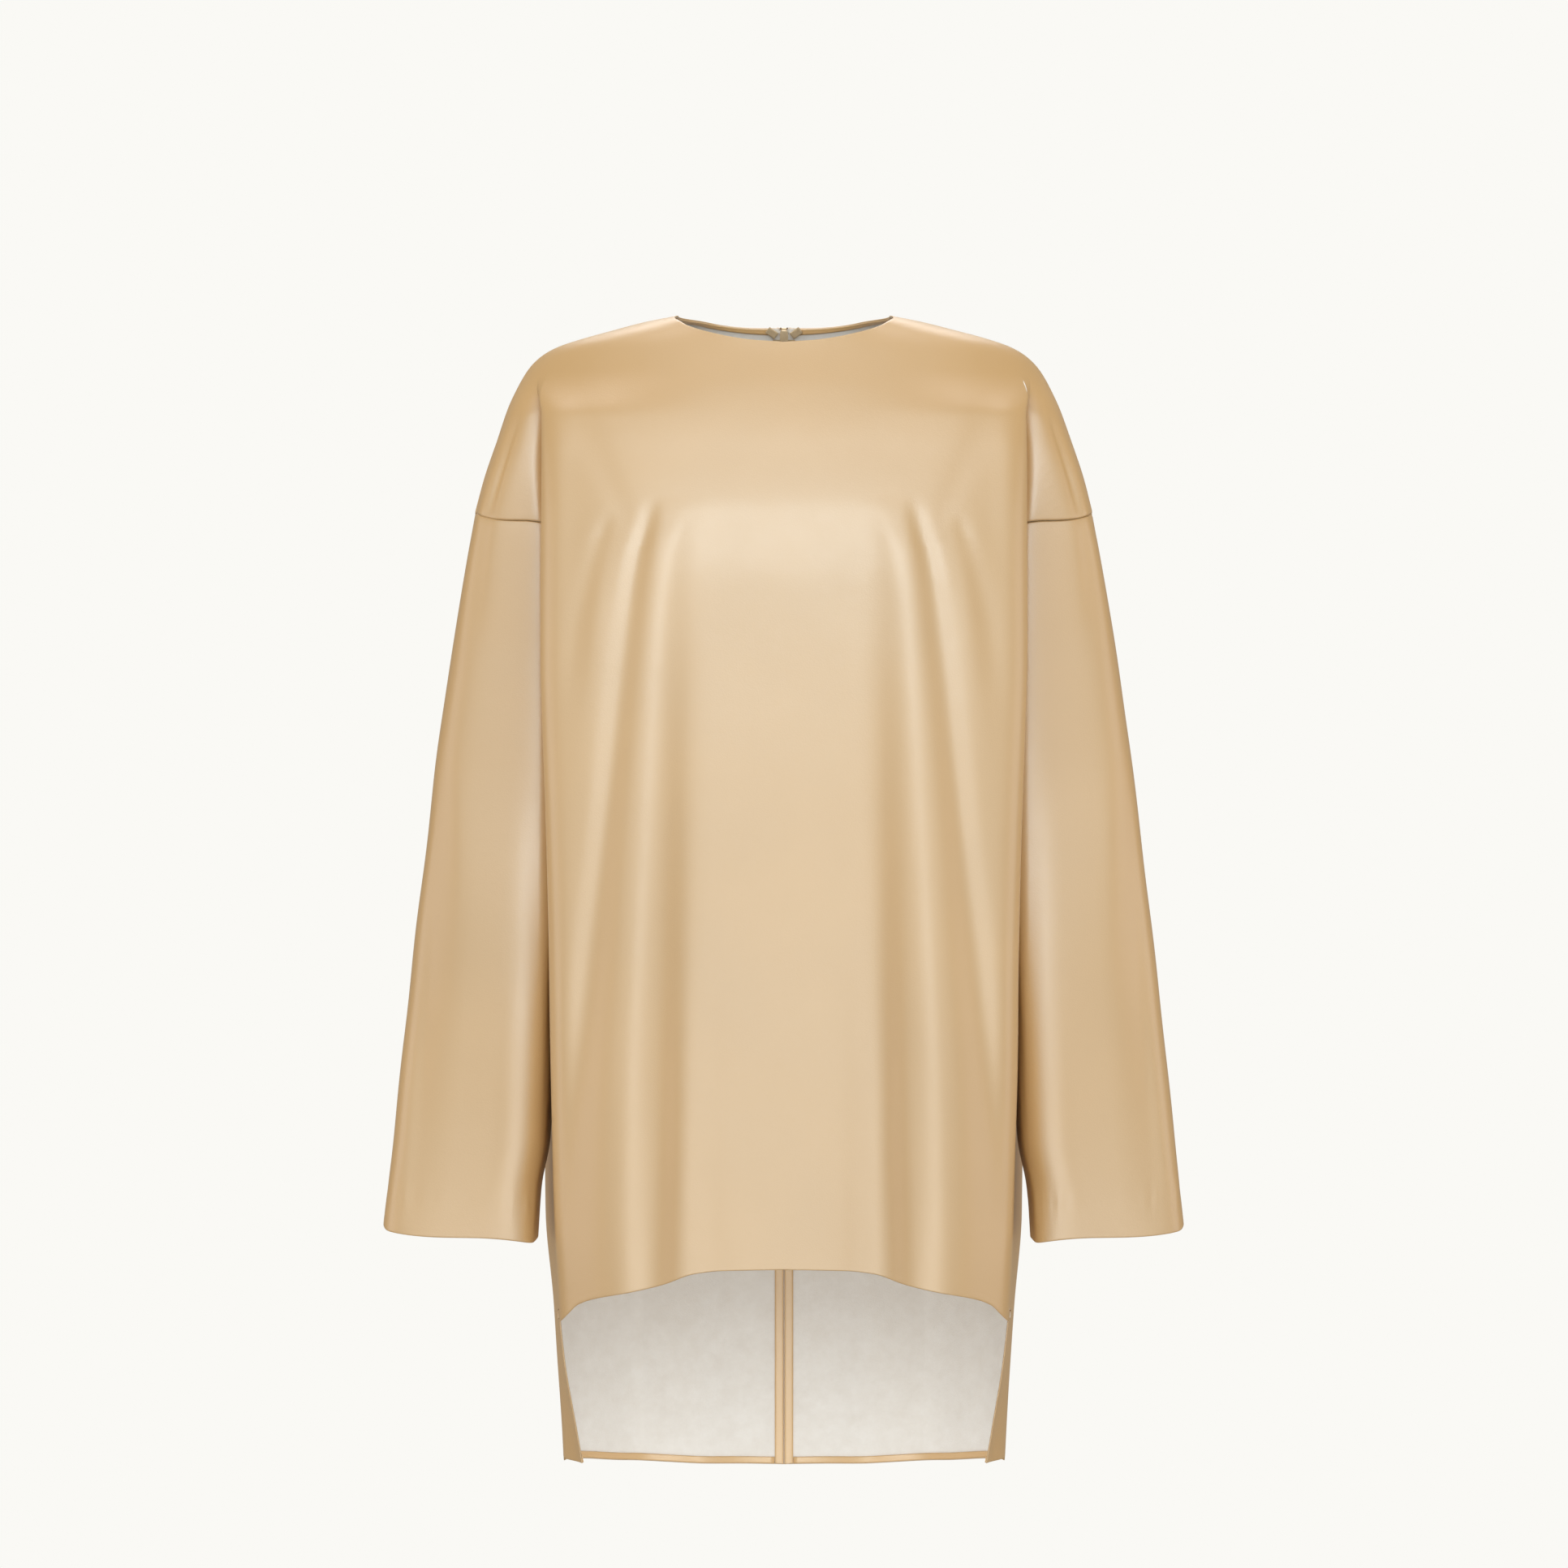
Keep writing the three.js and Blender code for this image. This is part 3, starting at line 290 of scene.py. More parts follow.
def at(rows, key, value, by="z"):
    """Reads a table at a level: a smooth curve through its rows that never overshoots them."""
    name = (id(rows), key, by)
    if name not in curves:
        points = sorted((row[by], row[key]) for row in rows)
        xs = np.array([p[0] for p in points], float)
        ys = np.array([p[1] for p in points], float)
        slopes = np.diff(ys) / np.diff(xs)
        tangents = np.concatenate([slopes[:1], np.zeros(len(xs) - 2), slopes[-1:]])
        before, after = slopes[:-1], slopes[1:]
        same = before * after > 0
        tangents[1:-1][same] = 2 * before[same] * after[same] / (before[same] + after[same])
        curves[name] = (xs, ys, tangents)
    xs, ys, tangents = curves[name]
    v = np.clip(value, xs[0], xs[-1])
    i = np.clip(np.searchsorted(xs, v, side="right") - 1, 0, len(xs) - 2)
    width = xs[i + 1] - xs[i]
    t = (v - xs[i]) / width
    return (
        ys[i] * (1 + 2 * t) * (1 - t) ** 2
        + tangents[i] * width * t * (1 - t) ** 2
        + ys[i + 1] * t * t * (3 - 2 * t)
        + tangents[i + 1] * width * t * t * (t - 1)
    )


def mix(a, b, t):
    return a + (b - a) * t


def clamp01(t):
    return np.clip(t, 0, 1)


def ease(t):
    return clamp01(t) ** 2 * (3 - 2 * clamp01(t))


def signed_power(v, p):
    return np.sign(v) * np.abs(v) ** p


def unit(v):
    """Vectors of length one along the given ones."""
    return v / np.maximum(np.linalg.norm(v, axis=-1, keepdims=True), 1e-12)


def run_of(line):
    """The distance along a line from its first point to each of its points."""
    return np.concatenate([[0], np.cumsum(np.linalg.norm(np.diff(line, axis=0), axis=1))])


def read_along(steps, run, values):
    """Values between those of a line's points, at given distances along it."""
    return np.stack([np.interp(steps, run, values[:, k]) for k in range(3)], -1)


def arm_flatness(z):
    return ease((ARM_TURN_START - z) / ARM_TURN_RUN)


def arm_point(deg, z):
    """A point of the arm's tube by level and angle, flatter in front, where it faces a little outward."""
    half = (at(ARM, "out_x", z) - at(ARM, "in_x", z)) / 2
    middle = at(ARM, "in_x", z) + half
    turn = np.radians(deg)
    ahead = np.mod(deg + 180, 360) - 180
    rise = ease((ahead - ARM_FACE["start"]) / ARM_FACE["run"])
    flat = rise * (1 - ease((ahead - ARM_FACE["end"]) / ARM_FACE["end_run"])) * arm_flatness(z)
    bulge = ARM_BULGE + ARM_FLATNESS * flat
    x = middle + half * signed_power(np.cos(turn), 2 / bulge)
    y = at(ARM, "mid_y", z) - at(ARM, "half_y", z) * signed_power(np.sin(turn), 2 / bulge)
    turned = ARM_TURN * (1 - ARM_TURN_LOSS * ease((ARM_TURN_EASE - z) / ARM_TURN_EASE_RUN))
    return x, y + turned * flat * np.maximum(x - ARM_TURN_X, 0)


def arm_inside(y, z):
    """How far towards the body the arm's tube reaches at a depth."""
    half = (at(ARM, "out_x", z) - at(ARM, "in_x", z)) / 2
    off = np.abs(y - at(ARM, "mid_y", z)) / at(ARM, "half_y", z)
    bulge = ARM_BULGE + np.where(y < at(ARM, "mid_y", z), ARM_FLATNESS * arm_flatness(z), 0)
    across = np.clip(1 - off**bulge, 0, 1) ** (1 / bulge)
    return at(ARM, "in_x", z) + half * (1 - across)


def bend(start, end, leave, arrive, t):
    """A curve between two points that leaves along one direction and arrives along another."""
    reach = np.hypot(end[0] - start[0], end[1] - start[1])
    a = (1 + 2 * t) * (1 - t) ** 2
    b = t * (1 - t) ** 2 * reach
    c = t * t * (3 - 2 * t)
    d = t * t * (t - 1) * reach
    return [a * start[k] + b * leave[k] + c * end[k] + d * arrive[k] for k in (0, 1)]


def fold_push(folds, x, z, uneven):
    """How far a panel's folds push the cloth out, or in where it is negative."""
    push = np.zeros_like(x)
    for line in folds:
        away = x - at(line, "x", z) - uneven["shift"]
        width = np.where(away < 0, at(line, "inner", z), at(line, "outer", z))
        size = np.where(z > line[0]["z"], 0, at(line, "push", z)) * uneven["push"]
        push += size * np.exp(-((away / width) ** 2))
    return push


class Half:
    """One side of the garment, front or back, as a sheet of points by column and level."""

    def __init__(self, name):
        self.name = name
        self.side = -1 if name == "front" else 1
        self.turn_at = BODY_COLUMNS[name]
        self.columns = self.turn_at + TURN_COLUMNS
        self.total = self.columns + ARM_COLUMNS
        self.turn_key = "roll" if name == "front" else "back"

    def across(self, c):
        """How far over the body a column stands: 0 in the middle, 1 where the body ends."""
        return np.sin(np.minimum(c / self.turn_at, 1) * math.pi / 2)

    def share_of(self, c):
        """How far a column stands from the middle to the ridge over the arm."""
        on_body = BODY_SHARE * self.across(c)
        on_turn = mix(BODY_SHARE, TURN_SHARE, (c - self.turn_at) / TURN_COLUMNS)
        on_arm = mix(TURN_SHARE, 1, 1 - (1 - (c - self.columns) / ARM_COLUMNS) ** 2)
        return np.where(c <= self.turn_at, on_body, np.where(c <= self.columns, on_turn, on_arm))

    def arch(self, c, z):
        """A point of the plain arch above the creases."""
        reach = np.where(z > TURN_Z, at(SHOULDER, "x", z), at(ARM, "out_x", z))
        share = self.share_of(c)
        depth = at(CENTRE, self.name, z) - SHOULDER_Y
        lift = np.sqrt(np.maximum(0, 1 - share ** at(SQUARENESS, self.name, z)))
        return reach * share, SHOULDER_Y + depth * lift

    def creased(self, c, z):
        """A point below: on the body, on its turn to the arm or side seam, or on the arm."""
        crease = at(ARM, "crease", z) * -self.side
        corner = [at(SIDES, self.turn_key + "_x", z), at(SIDES, self.turn_key + "_y", z)]
        across = self.across(c)
        depth = at(CENTRE, self.name, z) - corner[1]
        lift = np.sqrt(np.maximum(0, 1 - across ** at(SQUARENESS, self.name, z)))
        body = [corner[0] * across, corner[1] + depth * lift]
        high = z > UNDERARM_Z
        foot_arm = arm_point(crease, z)
        foot = [
            np.where(high, foot_arm[0], at(SIDES, "seam_x", z)),
            np.where(high, foot_arm[1], at(SIDES, "seam_y", z)),
        ]
        dx = at(SIDES, "back_x", z) - at(SIDES, "roll_x", z)
        dy = at(SIDES, "back_y", z) - at(SIDES, "roll_y", z)
        run = np.hypot(dx, dy)
        arrive = [
            np.where(high, CREASE_LEAN[0], -self.side * dx / run),
            np.where(high, CREASE_LEAN[1] * self.side, -self.side * dy / run),
        ]
        t = clamp01((c - self.turn_at) / TURN_COLUMNS)
        x, y = bend(corner, foot, [0, -self.side], arrive, t)
        tucked = mix(
            clamp01((UNDERARM_Z - z) / UNDERARM_RUN), clamp01((TUCK_START - z) / TUCK_RUN), TUCK_SHARE
        )
        room = CREASE_ROOM * np.maximum(1 - t, tucked)
        limited = np.minimum(x, arm_inside(y, z) - room)
        turn = [np.where((tucked == 0) & (t >= 1), x, limited), y]
        deg = mix(crease, at(ARM, "ridge", z), clamp01((c - self.columns) / ARM_COLUMNS))
        arm = arm_point(deg, z)
        beyond = [np.where(c <= self.columns, turn[k], arm[k]) for k in (0, 1)]
        return [np.where(c <= self.turn_at, body[k], beyond[k]) for k in (0, 1)]

    def push(self, x, z, uneven):
        if self.name == "back":
            return fold_push(BACK_FOLDS, x, z, uneven)
        inward = 1 - ease((x - RECESS_INNER) / (RECESS_OUTER - RECESS_INNER))
        recess = np.where(z > RECESS[0]["z"], 0, at(RECESS, "depth", z)) * inward
        return fold_push(FRONT_FOLDS, x, z, uneven) - recess

    def point(self, c, z, uneven):
        """The arch above, the creased form below, and the folds on the body."""
        share = ease((CREASE_START - z) / (CREASE_START - CREASE_FULL))
        high = self.arch(c, z)
        low = self.creased(c, z)
        x = mix(high[0], low[0], share)
        on_body = np.where(c < self.turn_at, 1 - np.minimum(c / self.turn_at, 1) ** 12, 0)
        y = mix(high[1], low[1], share) + self.side * self.push(x, z, uneven) * on_body
        return x, y

    def yoke_level(self, i, c, neck_share):
        """The height of a row of the yoke: it follows the neck's edge first, then the creases."""
        keys = [f"{self.name}_{line}" for line in ("centre", "crease", "ridge")]
        centre, crease, ridge = (at(YOKE_ROWS, key, i, "i") for key in keys)
        even = mix(centre, crease, self.across(c) ** 2)
        over_arm = mix(crease, ridge, clamp01((c - self.columns) / ARM_COLUMNS))
        even = np.where(c > self.columns, over_arm, even)
        rise = 1 - at(NECK_EDGE, self.name, self.share_of(c), "share") / NECK_EDGE[0][self.name]
        return mix(even, mix(centre, ridge, rise), neck_share)

    def grid(self, cs, yoke, levels, uneven):
        """Points in rows from the neck to the armhole seam, then in rows over the body to the hem."""
        i, c = np.meshgrid(yoke, cs, indexing="ij")
        z = self.yoke_level(i, c, 1 - ease(i / NECK_EASE_ROWS))
        upper = np.stack([*self.point(c, z, uneven), z], -1)
        level, c = np.meshgrid(levels, cs[cs <= self.columns], indexing="ij")
        share = (level - CROSSING_Z) / (HEM_SIDE[self.name] - CROSSING_Z)
        start = self.yoke_level(np.full_like(c, YOKE_END), c, 0)
        x = self.point(c, mix(start, HEM_SIDE[self.name], share), uneven)[0]
        z = mix(start, at(HEM[self.name], "z", x, "x"), share)
        z = np.where(c >= self.turn_at, level, z)
        lower = np.stack([*self.point(c, z, uneven), z], -1)
        return upper, lower


class Cloth:
    """Points and four-sided faces that become one wall of cloth."""

    def __init__(self):
        self.points = np.zeros((0, 3))
        self.faces = np.zeros((0, 4), int)

    def add(self, points):
        """Adds points of any shape and returns their numbers in the same shape."""
        shape = points.shape[:-1]
        start = len(self.points)
        self.points = np.concatenate([self.points, points.reshape(-1, 3)])
        return start + np.arange(int(np.prod(shape))).reshape(shape)

    def cover(self, grid, flip=False, wraps=False):
        """Adds faces over a grid of point numbers, which may close round on itself."""
        if wraps:
            grid = np.concatenate([grid, grid[:, :1]], 1)
        corners = np.stack([grid[:-1, :-1], grid[:-1, 1:], grid[1:, 1:], grid[1:, :-1]], -1).reshape(-1, 4)
        self.faces = np.concatenate([self.faces, corners if flip else corners[:, ::-1]])

    def normals(self):
        p = self.points[self.faces]
        n = np.cross(p[:, 2] - p[:, 0], p[:, 3] - p[:, 1])
        total = np.zeros_like(self.points)
        for k in range(4):
            np.add.at(total, self.faces[:, k], n)
        return unit(total)

    def face_along(self, ways):
        """Turns all faces over if they look against the given directions."""
        if np.sum(self.normals() * ways) < 0:
            self.faces = self.faces[:, ::-1]

    def rim(self):
        """The free edges, each as it runs round its face."""
        starts = self.faces.reshape(-1)
        ends = np.roll(self.faces, -1, 1).reshape(-1)
        count = len(self.points)
        forward = starts * count + ends
        back = ends * count + starts
        free = ~np.isin(forward, back)
        return starts[free], ends[free]

    def wall(self, name, thickness, materials, inner_slot=1):
        """A closed wall: the outer points, the same points moved in, and a rim round every free edge."""
        inner = self.points - self.normals() * thickness
        count = len(self.points)
        starts, ends = self.rim()
        rim = np.stack([starts, starts + count, ends + count, ends], -1)
        faces = np.concatenate([self.faces, self.faces[:, ::-1] + count, rim])
        slots = np.zeros(len(faces))
        slots[len(self.faces):2 * len(self.faces)] = inner_slot
        return make(name, np.concatenate([self.points, inner]), faces, materials, slots)


def make(name, points, faces, materials, slots=None, smooth=True):
    """A new piece from points in millimetres."""
    mesh = bpy.data.meshes.new(name)
    mesh.from_pydata((points * MM).tolist(), [], [[int(v) for v in face] for face in faces])
    for material in materials:
        mesh.materials.append(material)
    if slots is not None:
        mesh.polygons.foreach_set("material_index", np.asarray(slots, np.int32))
    mesh.polygons.foreach_set("use_smooth", np.full(len(mesh.polygons), smooth))
    mesh.update()
    piece = bpy.data.objects.new(name, mesh)
    bpy.context.scene.collection.objects.link(piece)
    return piece


def dress(piece, stands_for=None, body="garment"):
    """Tells the frame what a piece replaces, which body it rides on."""
    if stands_for:
        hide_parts(stands_for)
    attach(piece, body)
    return piece


def between(start, end, count):
    return np.linspace(start, end, count + 1)


def ripple(a, b, seed):
    """Slow unevenness of about one, over two directions in millimetres."""
    rng = np.random.default_rng(seed)
    total = np.zeros_like(a)
    for _ in range(7):
        wave = rng.uniform(90, 260)
        turn = rng.uniform(0, 2 * math.pi)
        phase = rng.uniform(0, 2 * math.pi)
        total += np.sin((a * math.cos(turn) + b * math.sin(turn)) * 2 * math.pi / wave + phase)
    return total / 3.5


def pucker(along, seed):
    """Small gathers along a seam."""
    rng = np.random.default_rng(seed)
    total = np.zeros_like(along)
    for _ in range(6):
        wave = rng.uniform(9, 26)
        total += np.sin(along * 2 * math.pi / wave + rng.uniform(0, 2 * math.pi))
    return total / 3


def arm_push(folds, deg, z, uneven):
    """The same for the folds round an arm."""
    push = np.zeros_like(z)
    for line in folds:
        away = deg - at(line, "deg", z) - uneven["shift"]
        width = np.where(away < 0, at(line, "below", z), at(line, "above", z))
        push += at(line, "push", z) * uneven["push"] * np.exp(-((away / width) ** 2))
    return push


FRONT = Half("front")
BACK = Half("back")
FINE = 4  # rows and columns of fine cloth to one of the solid's
ARM_FINE = 2 * FINE  # and round the arm
CLOSE_COLUMNS = (0.05, -0.07, -0.09)  # and more of them close to the seams
CLOSE_ROWS = (0.06, -0.07)
CLOSE_SHARE = 0.02  # of the way round the sleeve's front or back
LOWER_ROW = 32  # height of the solid's rows below the armhole
SLEEVE_ROWS = 20
EDGE = 1.3  # the cloth turns down into a seam over this width
SEAM_DIP = 0.28
SEAM_GAP = 0.05
SEAM_SHARE = 0.0025  # the same width as a share of the sleeve's length
SLIT_DIP = 0.25
SLIT_PART = 2  # how far the front's slit edge stands back from the back's
SLIT_PART_NEXT = 1.2
# Heights above a hem and how far the cloth is drawn in there: its edge, and where its turning ends.
HEM_RISES = np.array([0, 0.5, 1.4, 4.6, 5.6, 6.6])
HEM_DIPS = [0.32, 0.08, 0, 0, 0.04, 0]
SLEEVE_HEM_RISES = np.array([0, 0.5, 1.4, SLEEVE_HEM - 1, SLEEVE_HEM, SLEEVE_HEM + 1])
SLEEVE_HEM_DIPS = [0.35, 0.08, 0, 0, 0.012, 0]
# Slow unevenness of the cloth, and small gathers that fade within a distance of a seam.
UNEVENNESS = {"panel": 0.35, "sleeve": 0.5}
ARMHOLE_GATHER = 0.4
GATHER_REACH = {"yoke": 7, "sleeve": 9, "hem": 8}
HEM_GATHER = 0.25
GATHER_SHIFT = 40
SEEDS = {"front": 11, "back": 23, "sleeve": 37, "hem": 41}
HAND_SEED = 3  # the left hand's gathers start their draws this far on, the right's this far back
YOKE_ROW = 20  # about the height of a row of the yoke over the arm
SLEEVE_LENGTH = 530


def without_twins(*lists):
    """All values in order, those that are the same but for rounding once."""
    return np.unique(np.round(np.concatenate(lists), 6))


def columns_of(shape):
    """Columns of fine cloth, with one more close to each seam."""
    body = between(0, shape.turn_at, shape.turn_at * (FINE if shape.name == "front" else 2 * FINE))
    turn = between(shape.turn_at, shape.columns, TURN_COLUMNS * FINE)[1:]
    arm = between(shape.columns, shape.total, ARM_COLUMNS * ARM_FINE)[1:]
    close = np.array([0, shape.columns, shape.total]) + CLOSE_COLUMNS
    return without_twins(body, turn, arm, close)


def levels_of(shape):
    foot = HEM_SIDE[shape.name]
    count = int((CROSSING_Z - foot) / LOWER_ROW * FINE)
    return without_twins(between(CROSSING_Z, foot, count), foot + HEM_RISES[1:])[::-1][1:]


def yoke_rows():
    return without_twins(between(0, YOKE_END, YOKE_END * FINE), np.array([0, YOKE_END]) + CLOSE_ROWS)


def seam_depths(shape, cs, yoke, levels):
    """How far each point is drawn in, at a seam or a hem, for the upper and the lower grid."""
    low = cs[cs <= shape.columns]
    upper = np.zeros((len(yoke), len(cs)))
    lower = np.zeros((len(levels), len(low)))
    upper[:, -1] = SEAM_DIP
    upper[-1, cs >= shape.columns] = SEAM_DIP
    lower[:, -1] = np.where(levels > SLIT_TOP_Z, SEAM_DIP, SLIT_DIP)
    if shape.name == "back":
        upper[:, 0] = SEAM_DIP
        lower[:, 0] = SEAM_DIP
    drawn = np.interp(levels - HEM_SIDE[shape.name], HEM_RISES, HEM_DIPS)
    return upper, np.maximum(lower, drawn[:, None])


def step_back(grid, row, col, towards):
    """Moves a line of points back from its seam, along the cloth."""
    grid[row, col] += unit(grid[towards] - grid[row, col]) * SEAM_GAP


def panel_points(shape, hand):
    """The fine points of half a panel with its folds and unevenness, and how far each is drawn in."""
    cs = columns_of(shape)
    yoke = yoke_rows()
    levels = levels_of(shape)
    uneven = UNEVEN[hand]
    upper, lower = shape.grid(cs, yoke, levels, uneven)
    arms = cs > shape.columns
    i, c = np.meshgrid(yoke, cs, indexing="ij")
    z = upper[..., 2]
    ridge = at(ARM, "ridge", z)
    deg = mix(at(ARM, "crease", z) * -shape.side, ridge, clamp01((c - shape.columns) / ARM_COLUMNS))
    push = np.where(arms[None, :], arm_push(YOKE_ARM_FOLDS, deg, z, uneven), 0)
    depth_upper, depth_lower = seam_depths(shape, cs, yoke, levels)
    depth_upper = depth_upper - push
    seed = SEEDS[shape.name]
    flip = 1 if hand == "left" else -1
    depth_upper -= UNEVENNESS["panel"] * ripple(upper[..., 0] * flip, upper[..., 2], seed) * ease(i / 2)
    depth_lower -= UNEVENNESS["panel"] * ripple(lower[..., 0] * flip, lower[..., 2], seed)
    near_armhole = np.exp(-(((YOKE_END - i) * YOKE_ROW / GATHER_REACH["yoke"]) ** 2)) * arms[None, :]
    gathers = pucker(upper[..., 1] + GATHER_SHIFT, seed + HAND_SEED * flip)
    depth_upper -= ARMHOLE_GATHER * near_armhole * gathers
    return cs, upper, lower, depth_upper, depth_lower


def trim(shape, cs, upper, lower):
    """Parts a panel from its neighbours at each seam and opens the slit and the zip's notch."""
    step_back(upper, slice(None), -1, (slice(None), -2))
    over_arm = np.flatnonzero(cs >= shape.columns)
    step_back(upper, -1, over_arm, (-2, over_arm))
    step_back(lower, slice(None), -1, (slice(None), -2))
    slit = lower[:, -1, 2] < SLIT_TOP_Z
    if shape.name == "front":
        step = unit(lower[slit, -3] - lower[slit, -1])
        lower[slit, -1] += step * SLIT_PART
        lower[slit, -2] += step * SLIT_PART_NEXT
    else:
        for grid in (upper, lower):
            open_share = clamp01((grid[:, 0, 2] - NOTCH_FOOT_Z) / (NOTCH_TOP_Z - NOTCH_FOOT_Z))
            grid[:, 0, 0] = SEAM_GAP + NOTCH_HALF * open_share
            grid[:, 1, 0] = np.maximum(grid[:, 1, 0], grid[:, 0, 0] + EDGE)


MIRROR = np.array([-1.0, 1.0, 1.0])


def half_panel(cloth, shape, hand, share_centre=None):
    """Adds half a panel to a cloth and returns its point numbers and depths."""
    cs, upper, lower, depth_upper, depth_lower = panel_points(shape, hand)
    trim(shape, cs, upper, lower)
    if hand == "right":
        upper = upper * MIRROR
        lower = lower * MIRROR
    high = cloth.add(upper)
    low = cloth.add(lower)
    if share_centre is not None:
        high[:, 0] = share_centre[0][:, 0]
        low[:, 0] = share_centre[1][:, 0]
    width = low.shape[1]
    body = np.concatenate([high[:, :width], low])
    arm = high[:, width - 1:]
    turned = (hand == "right") != (shape.name == "back")
    cloth.cover(body, turned)
    cloth.cover(arm, turned)
    return high, low, depth_upper, depth_lower


def draw_in(cloth, numbers, depths):
    """Moves points in along the cloth's normals by their depths."""
    normals = cloth.normals()
    for number, depth in zip(numbers, depths):
        cloth.points[number] -= normals[number] * depth[..., None]


# Materials

def shader_of(name):
    material = bpy.data.materials.new(name)
    material.use_nodes = True
    nodes = material.node_tree.nodes
    return material, material.node_tree, nodes["Principled BSDF"]


def set_values(shader, values):
    """Sets numbers and colours on the shader's own sockets."""
    for name, value in values.items():
        shader.inputs[name].default_value = value


def node(tree, kind, **values):
    made = tree.nodes.new(kind)
    set_values(made, values)
    return made


def noise(tree, coordinates, scale, detail=2.0, roughness=0.5):
    made = node(tree, "ShaderNodeTexNoise", Scale=scale, Detail=detail, Roughness=roughness)
    tree.links.new(coordinates, made.inputs["Vector"])
    return made.outputs["Fac"]


def ramp(tree, value, stops):
    made = tree.nodes.new("ShaderNodeValToRGB")
    elements = made.color_ramp.elements
    while len(elements) < len(stops):
        elements.new(0.5)
    for element, (place, colour) in zip(elements, stops):
        element.position = place
        element.color = (*colour, 1)
    tree.links.new(value, made.inputs["Fac"])
    return made.outputs["Color"]


def to_range(tree, value, low, high, start=0.0, end=1.0):
    made = node(tree, "ShaderNodeMapRange")
    set_values(made, {"From Min": start, "From Max": end, "To Min": low, "To Max": high})
    tree.links.new(value, made.inputs["Value"])
    return made.outputs["Result"]


def add_bumps(tree, shader, bumps):
    """Chains bumps of (height, distance in metres, strength) into the shader's normal."""
    last = None
    for height, distance, strength in bumps:
        bump = node(tree, "ShaderNodeBump", Strength=strength, Distance=distance)
        tree.links.new(height, bump.inputs["Height"])
        if last is not None:
            tree.links.new(last, bump.inputs["Normal"])
        last = bump.outputs["Normal"]
    tree.links.new(last, shader.inputs["Normal"])


def place_of(tree):
    return tree.nodes.new("ShaderNodeTexCoord").outputs["Object"]


TAN = (0.575, 0.34, 0.122)


def coated_cloth(name, tint=1.0):
    """Smooth coated cloth with a satin face: a faint grain, and slow changes of tone and gloss."""
    material, tree, shader = shader_of(name)
    place = place_of(tree)
    slow = noise(tree, place, 5.0, 3.0, 0.55)
    light = tuple(min(1, v * tint * 1.03) for v in TAN)
    dark = tuple(v * tint * 0.96 for v in TAN)
    tree.links.new(ramp(tree, slow, [(0.3, dark), (0.7, light)]), shader.inputs["Base Color"])
    tree.links.new(to_range(tree, noise(tree, place, 60.0, 3.0), 0.37, 0.43), shader.inputs["Roughness"])
    set_values(shader, {"IOR": 1.75, "Specular IOR Level": 1.0, "Coat Weight": 0.8, "Coat Roughness": 0.5})
    cells = node(tree, "ShaderNodeTexVoronoi", Scale=950.0)
    tree.links.new(place, cells.inputs["Vector"])
    add_bumps(
        tree,
        shader,
        [
            (noise(tree, place, 14.0, 3.0, 0.6), 0.004, 0.05),
            (noise(tree, place, 260.0, 3.0, 0.6), 0.0004, 0.12),
            (cells.outputs["Distance"], 0.00012, 0.3),
        ],
    )
    return material


def brushed_backing(name):
    """The cloth's brushed inside."""
    material, tree, shader = shader_of(name)
    place = place_of(tree)
    stops = [(0.3, (0.88, 0.82, 0.74)), (0.7, (0.94, 0.89, 0.82))]
    tree.links.new(ramp(tree, noise(tree, place, 70.0, 5.0, 0.7), stops), shader.inputs["Base Color"])
    set_values(shader, {"Roughness": 0.92, "Specular IOR Level": 0.2})
    set_values(shader, {"Sheen Weight": 0.25, "Sheen Roughness": 0.5})
    add_bumps(tree, shader, [(noise(tree, place, 700.0, 4.0, 0.7), 0.0004, 0.5)])
    return material


def woven_tape(name, colour):
    """Ribbed woven tape."""
    material, tree, shader = shader_of(name)
    place = place_of(tree)
    weave = node(tree, "ShaderNodeTexWave", Scale=900.0, Distortion=1.0)
    weave.bands_direction = "Z"
    tree.links.new(place, weave.inputs["Vector"])
    stops = [(0.2, tuple(v * 0.72 for v in colour)), (0.8, colour)]
    tree.links.new(ramp(tree, weave.outputs["Fac"], stops), shader.inputs["Base Color"])
    set_values(shader, {"Roughness": 0.85, "Specular IOR Level": 0.25})
    add_bumps(tree, shader, [(weave.outputs["Fac"], 0.0003, 0.6)])
    return material


def enamel(name, colour):
    """Painted metal of the slider and pull."""
    material, tree, shader = shader_of(name)
    place = place_of(tree)
    stops = [(0.3, colour), (0.7, tuple(min(1, v * 1.08) for v in colour))]
    tree.links.new(ramp(tree, noise(tree, place, 400.0), stops), shader.inputs["Base Color"])
    set_values(shader, {"Metallic": 0.35, "Roughness": 0.34})
    add_bumps(tree, shader, [(noise(tree, place, 900.0), 0.0001, 0.2)])
    return material


face = coated_cloth("coated_cloth_face")
# The turned-in strips are the same cloth brightened 1.4 times: painted light that lifts the shade they lie
# in inside the back.
painted_light_turned_face = coated_cloth("turned_cloth_face", 1.4)
backing = brushed_backing("coated_cloth_inside")
tape = woven_tape("zip_tape_weave", (0.76, 0.56, 0.33))
thread = woven_tape("tape_thread", (0.7, 0.52, 0.3))
metal = enamel("zip_enamel", (0.78, 0.6, 0.38))

# Cloth

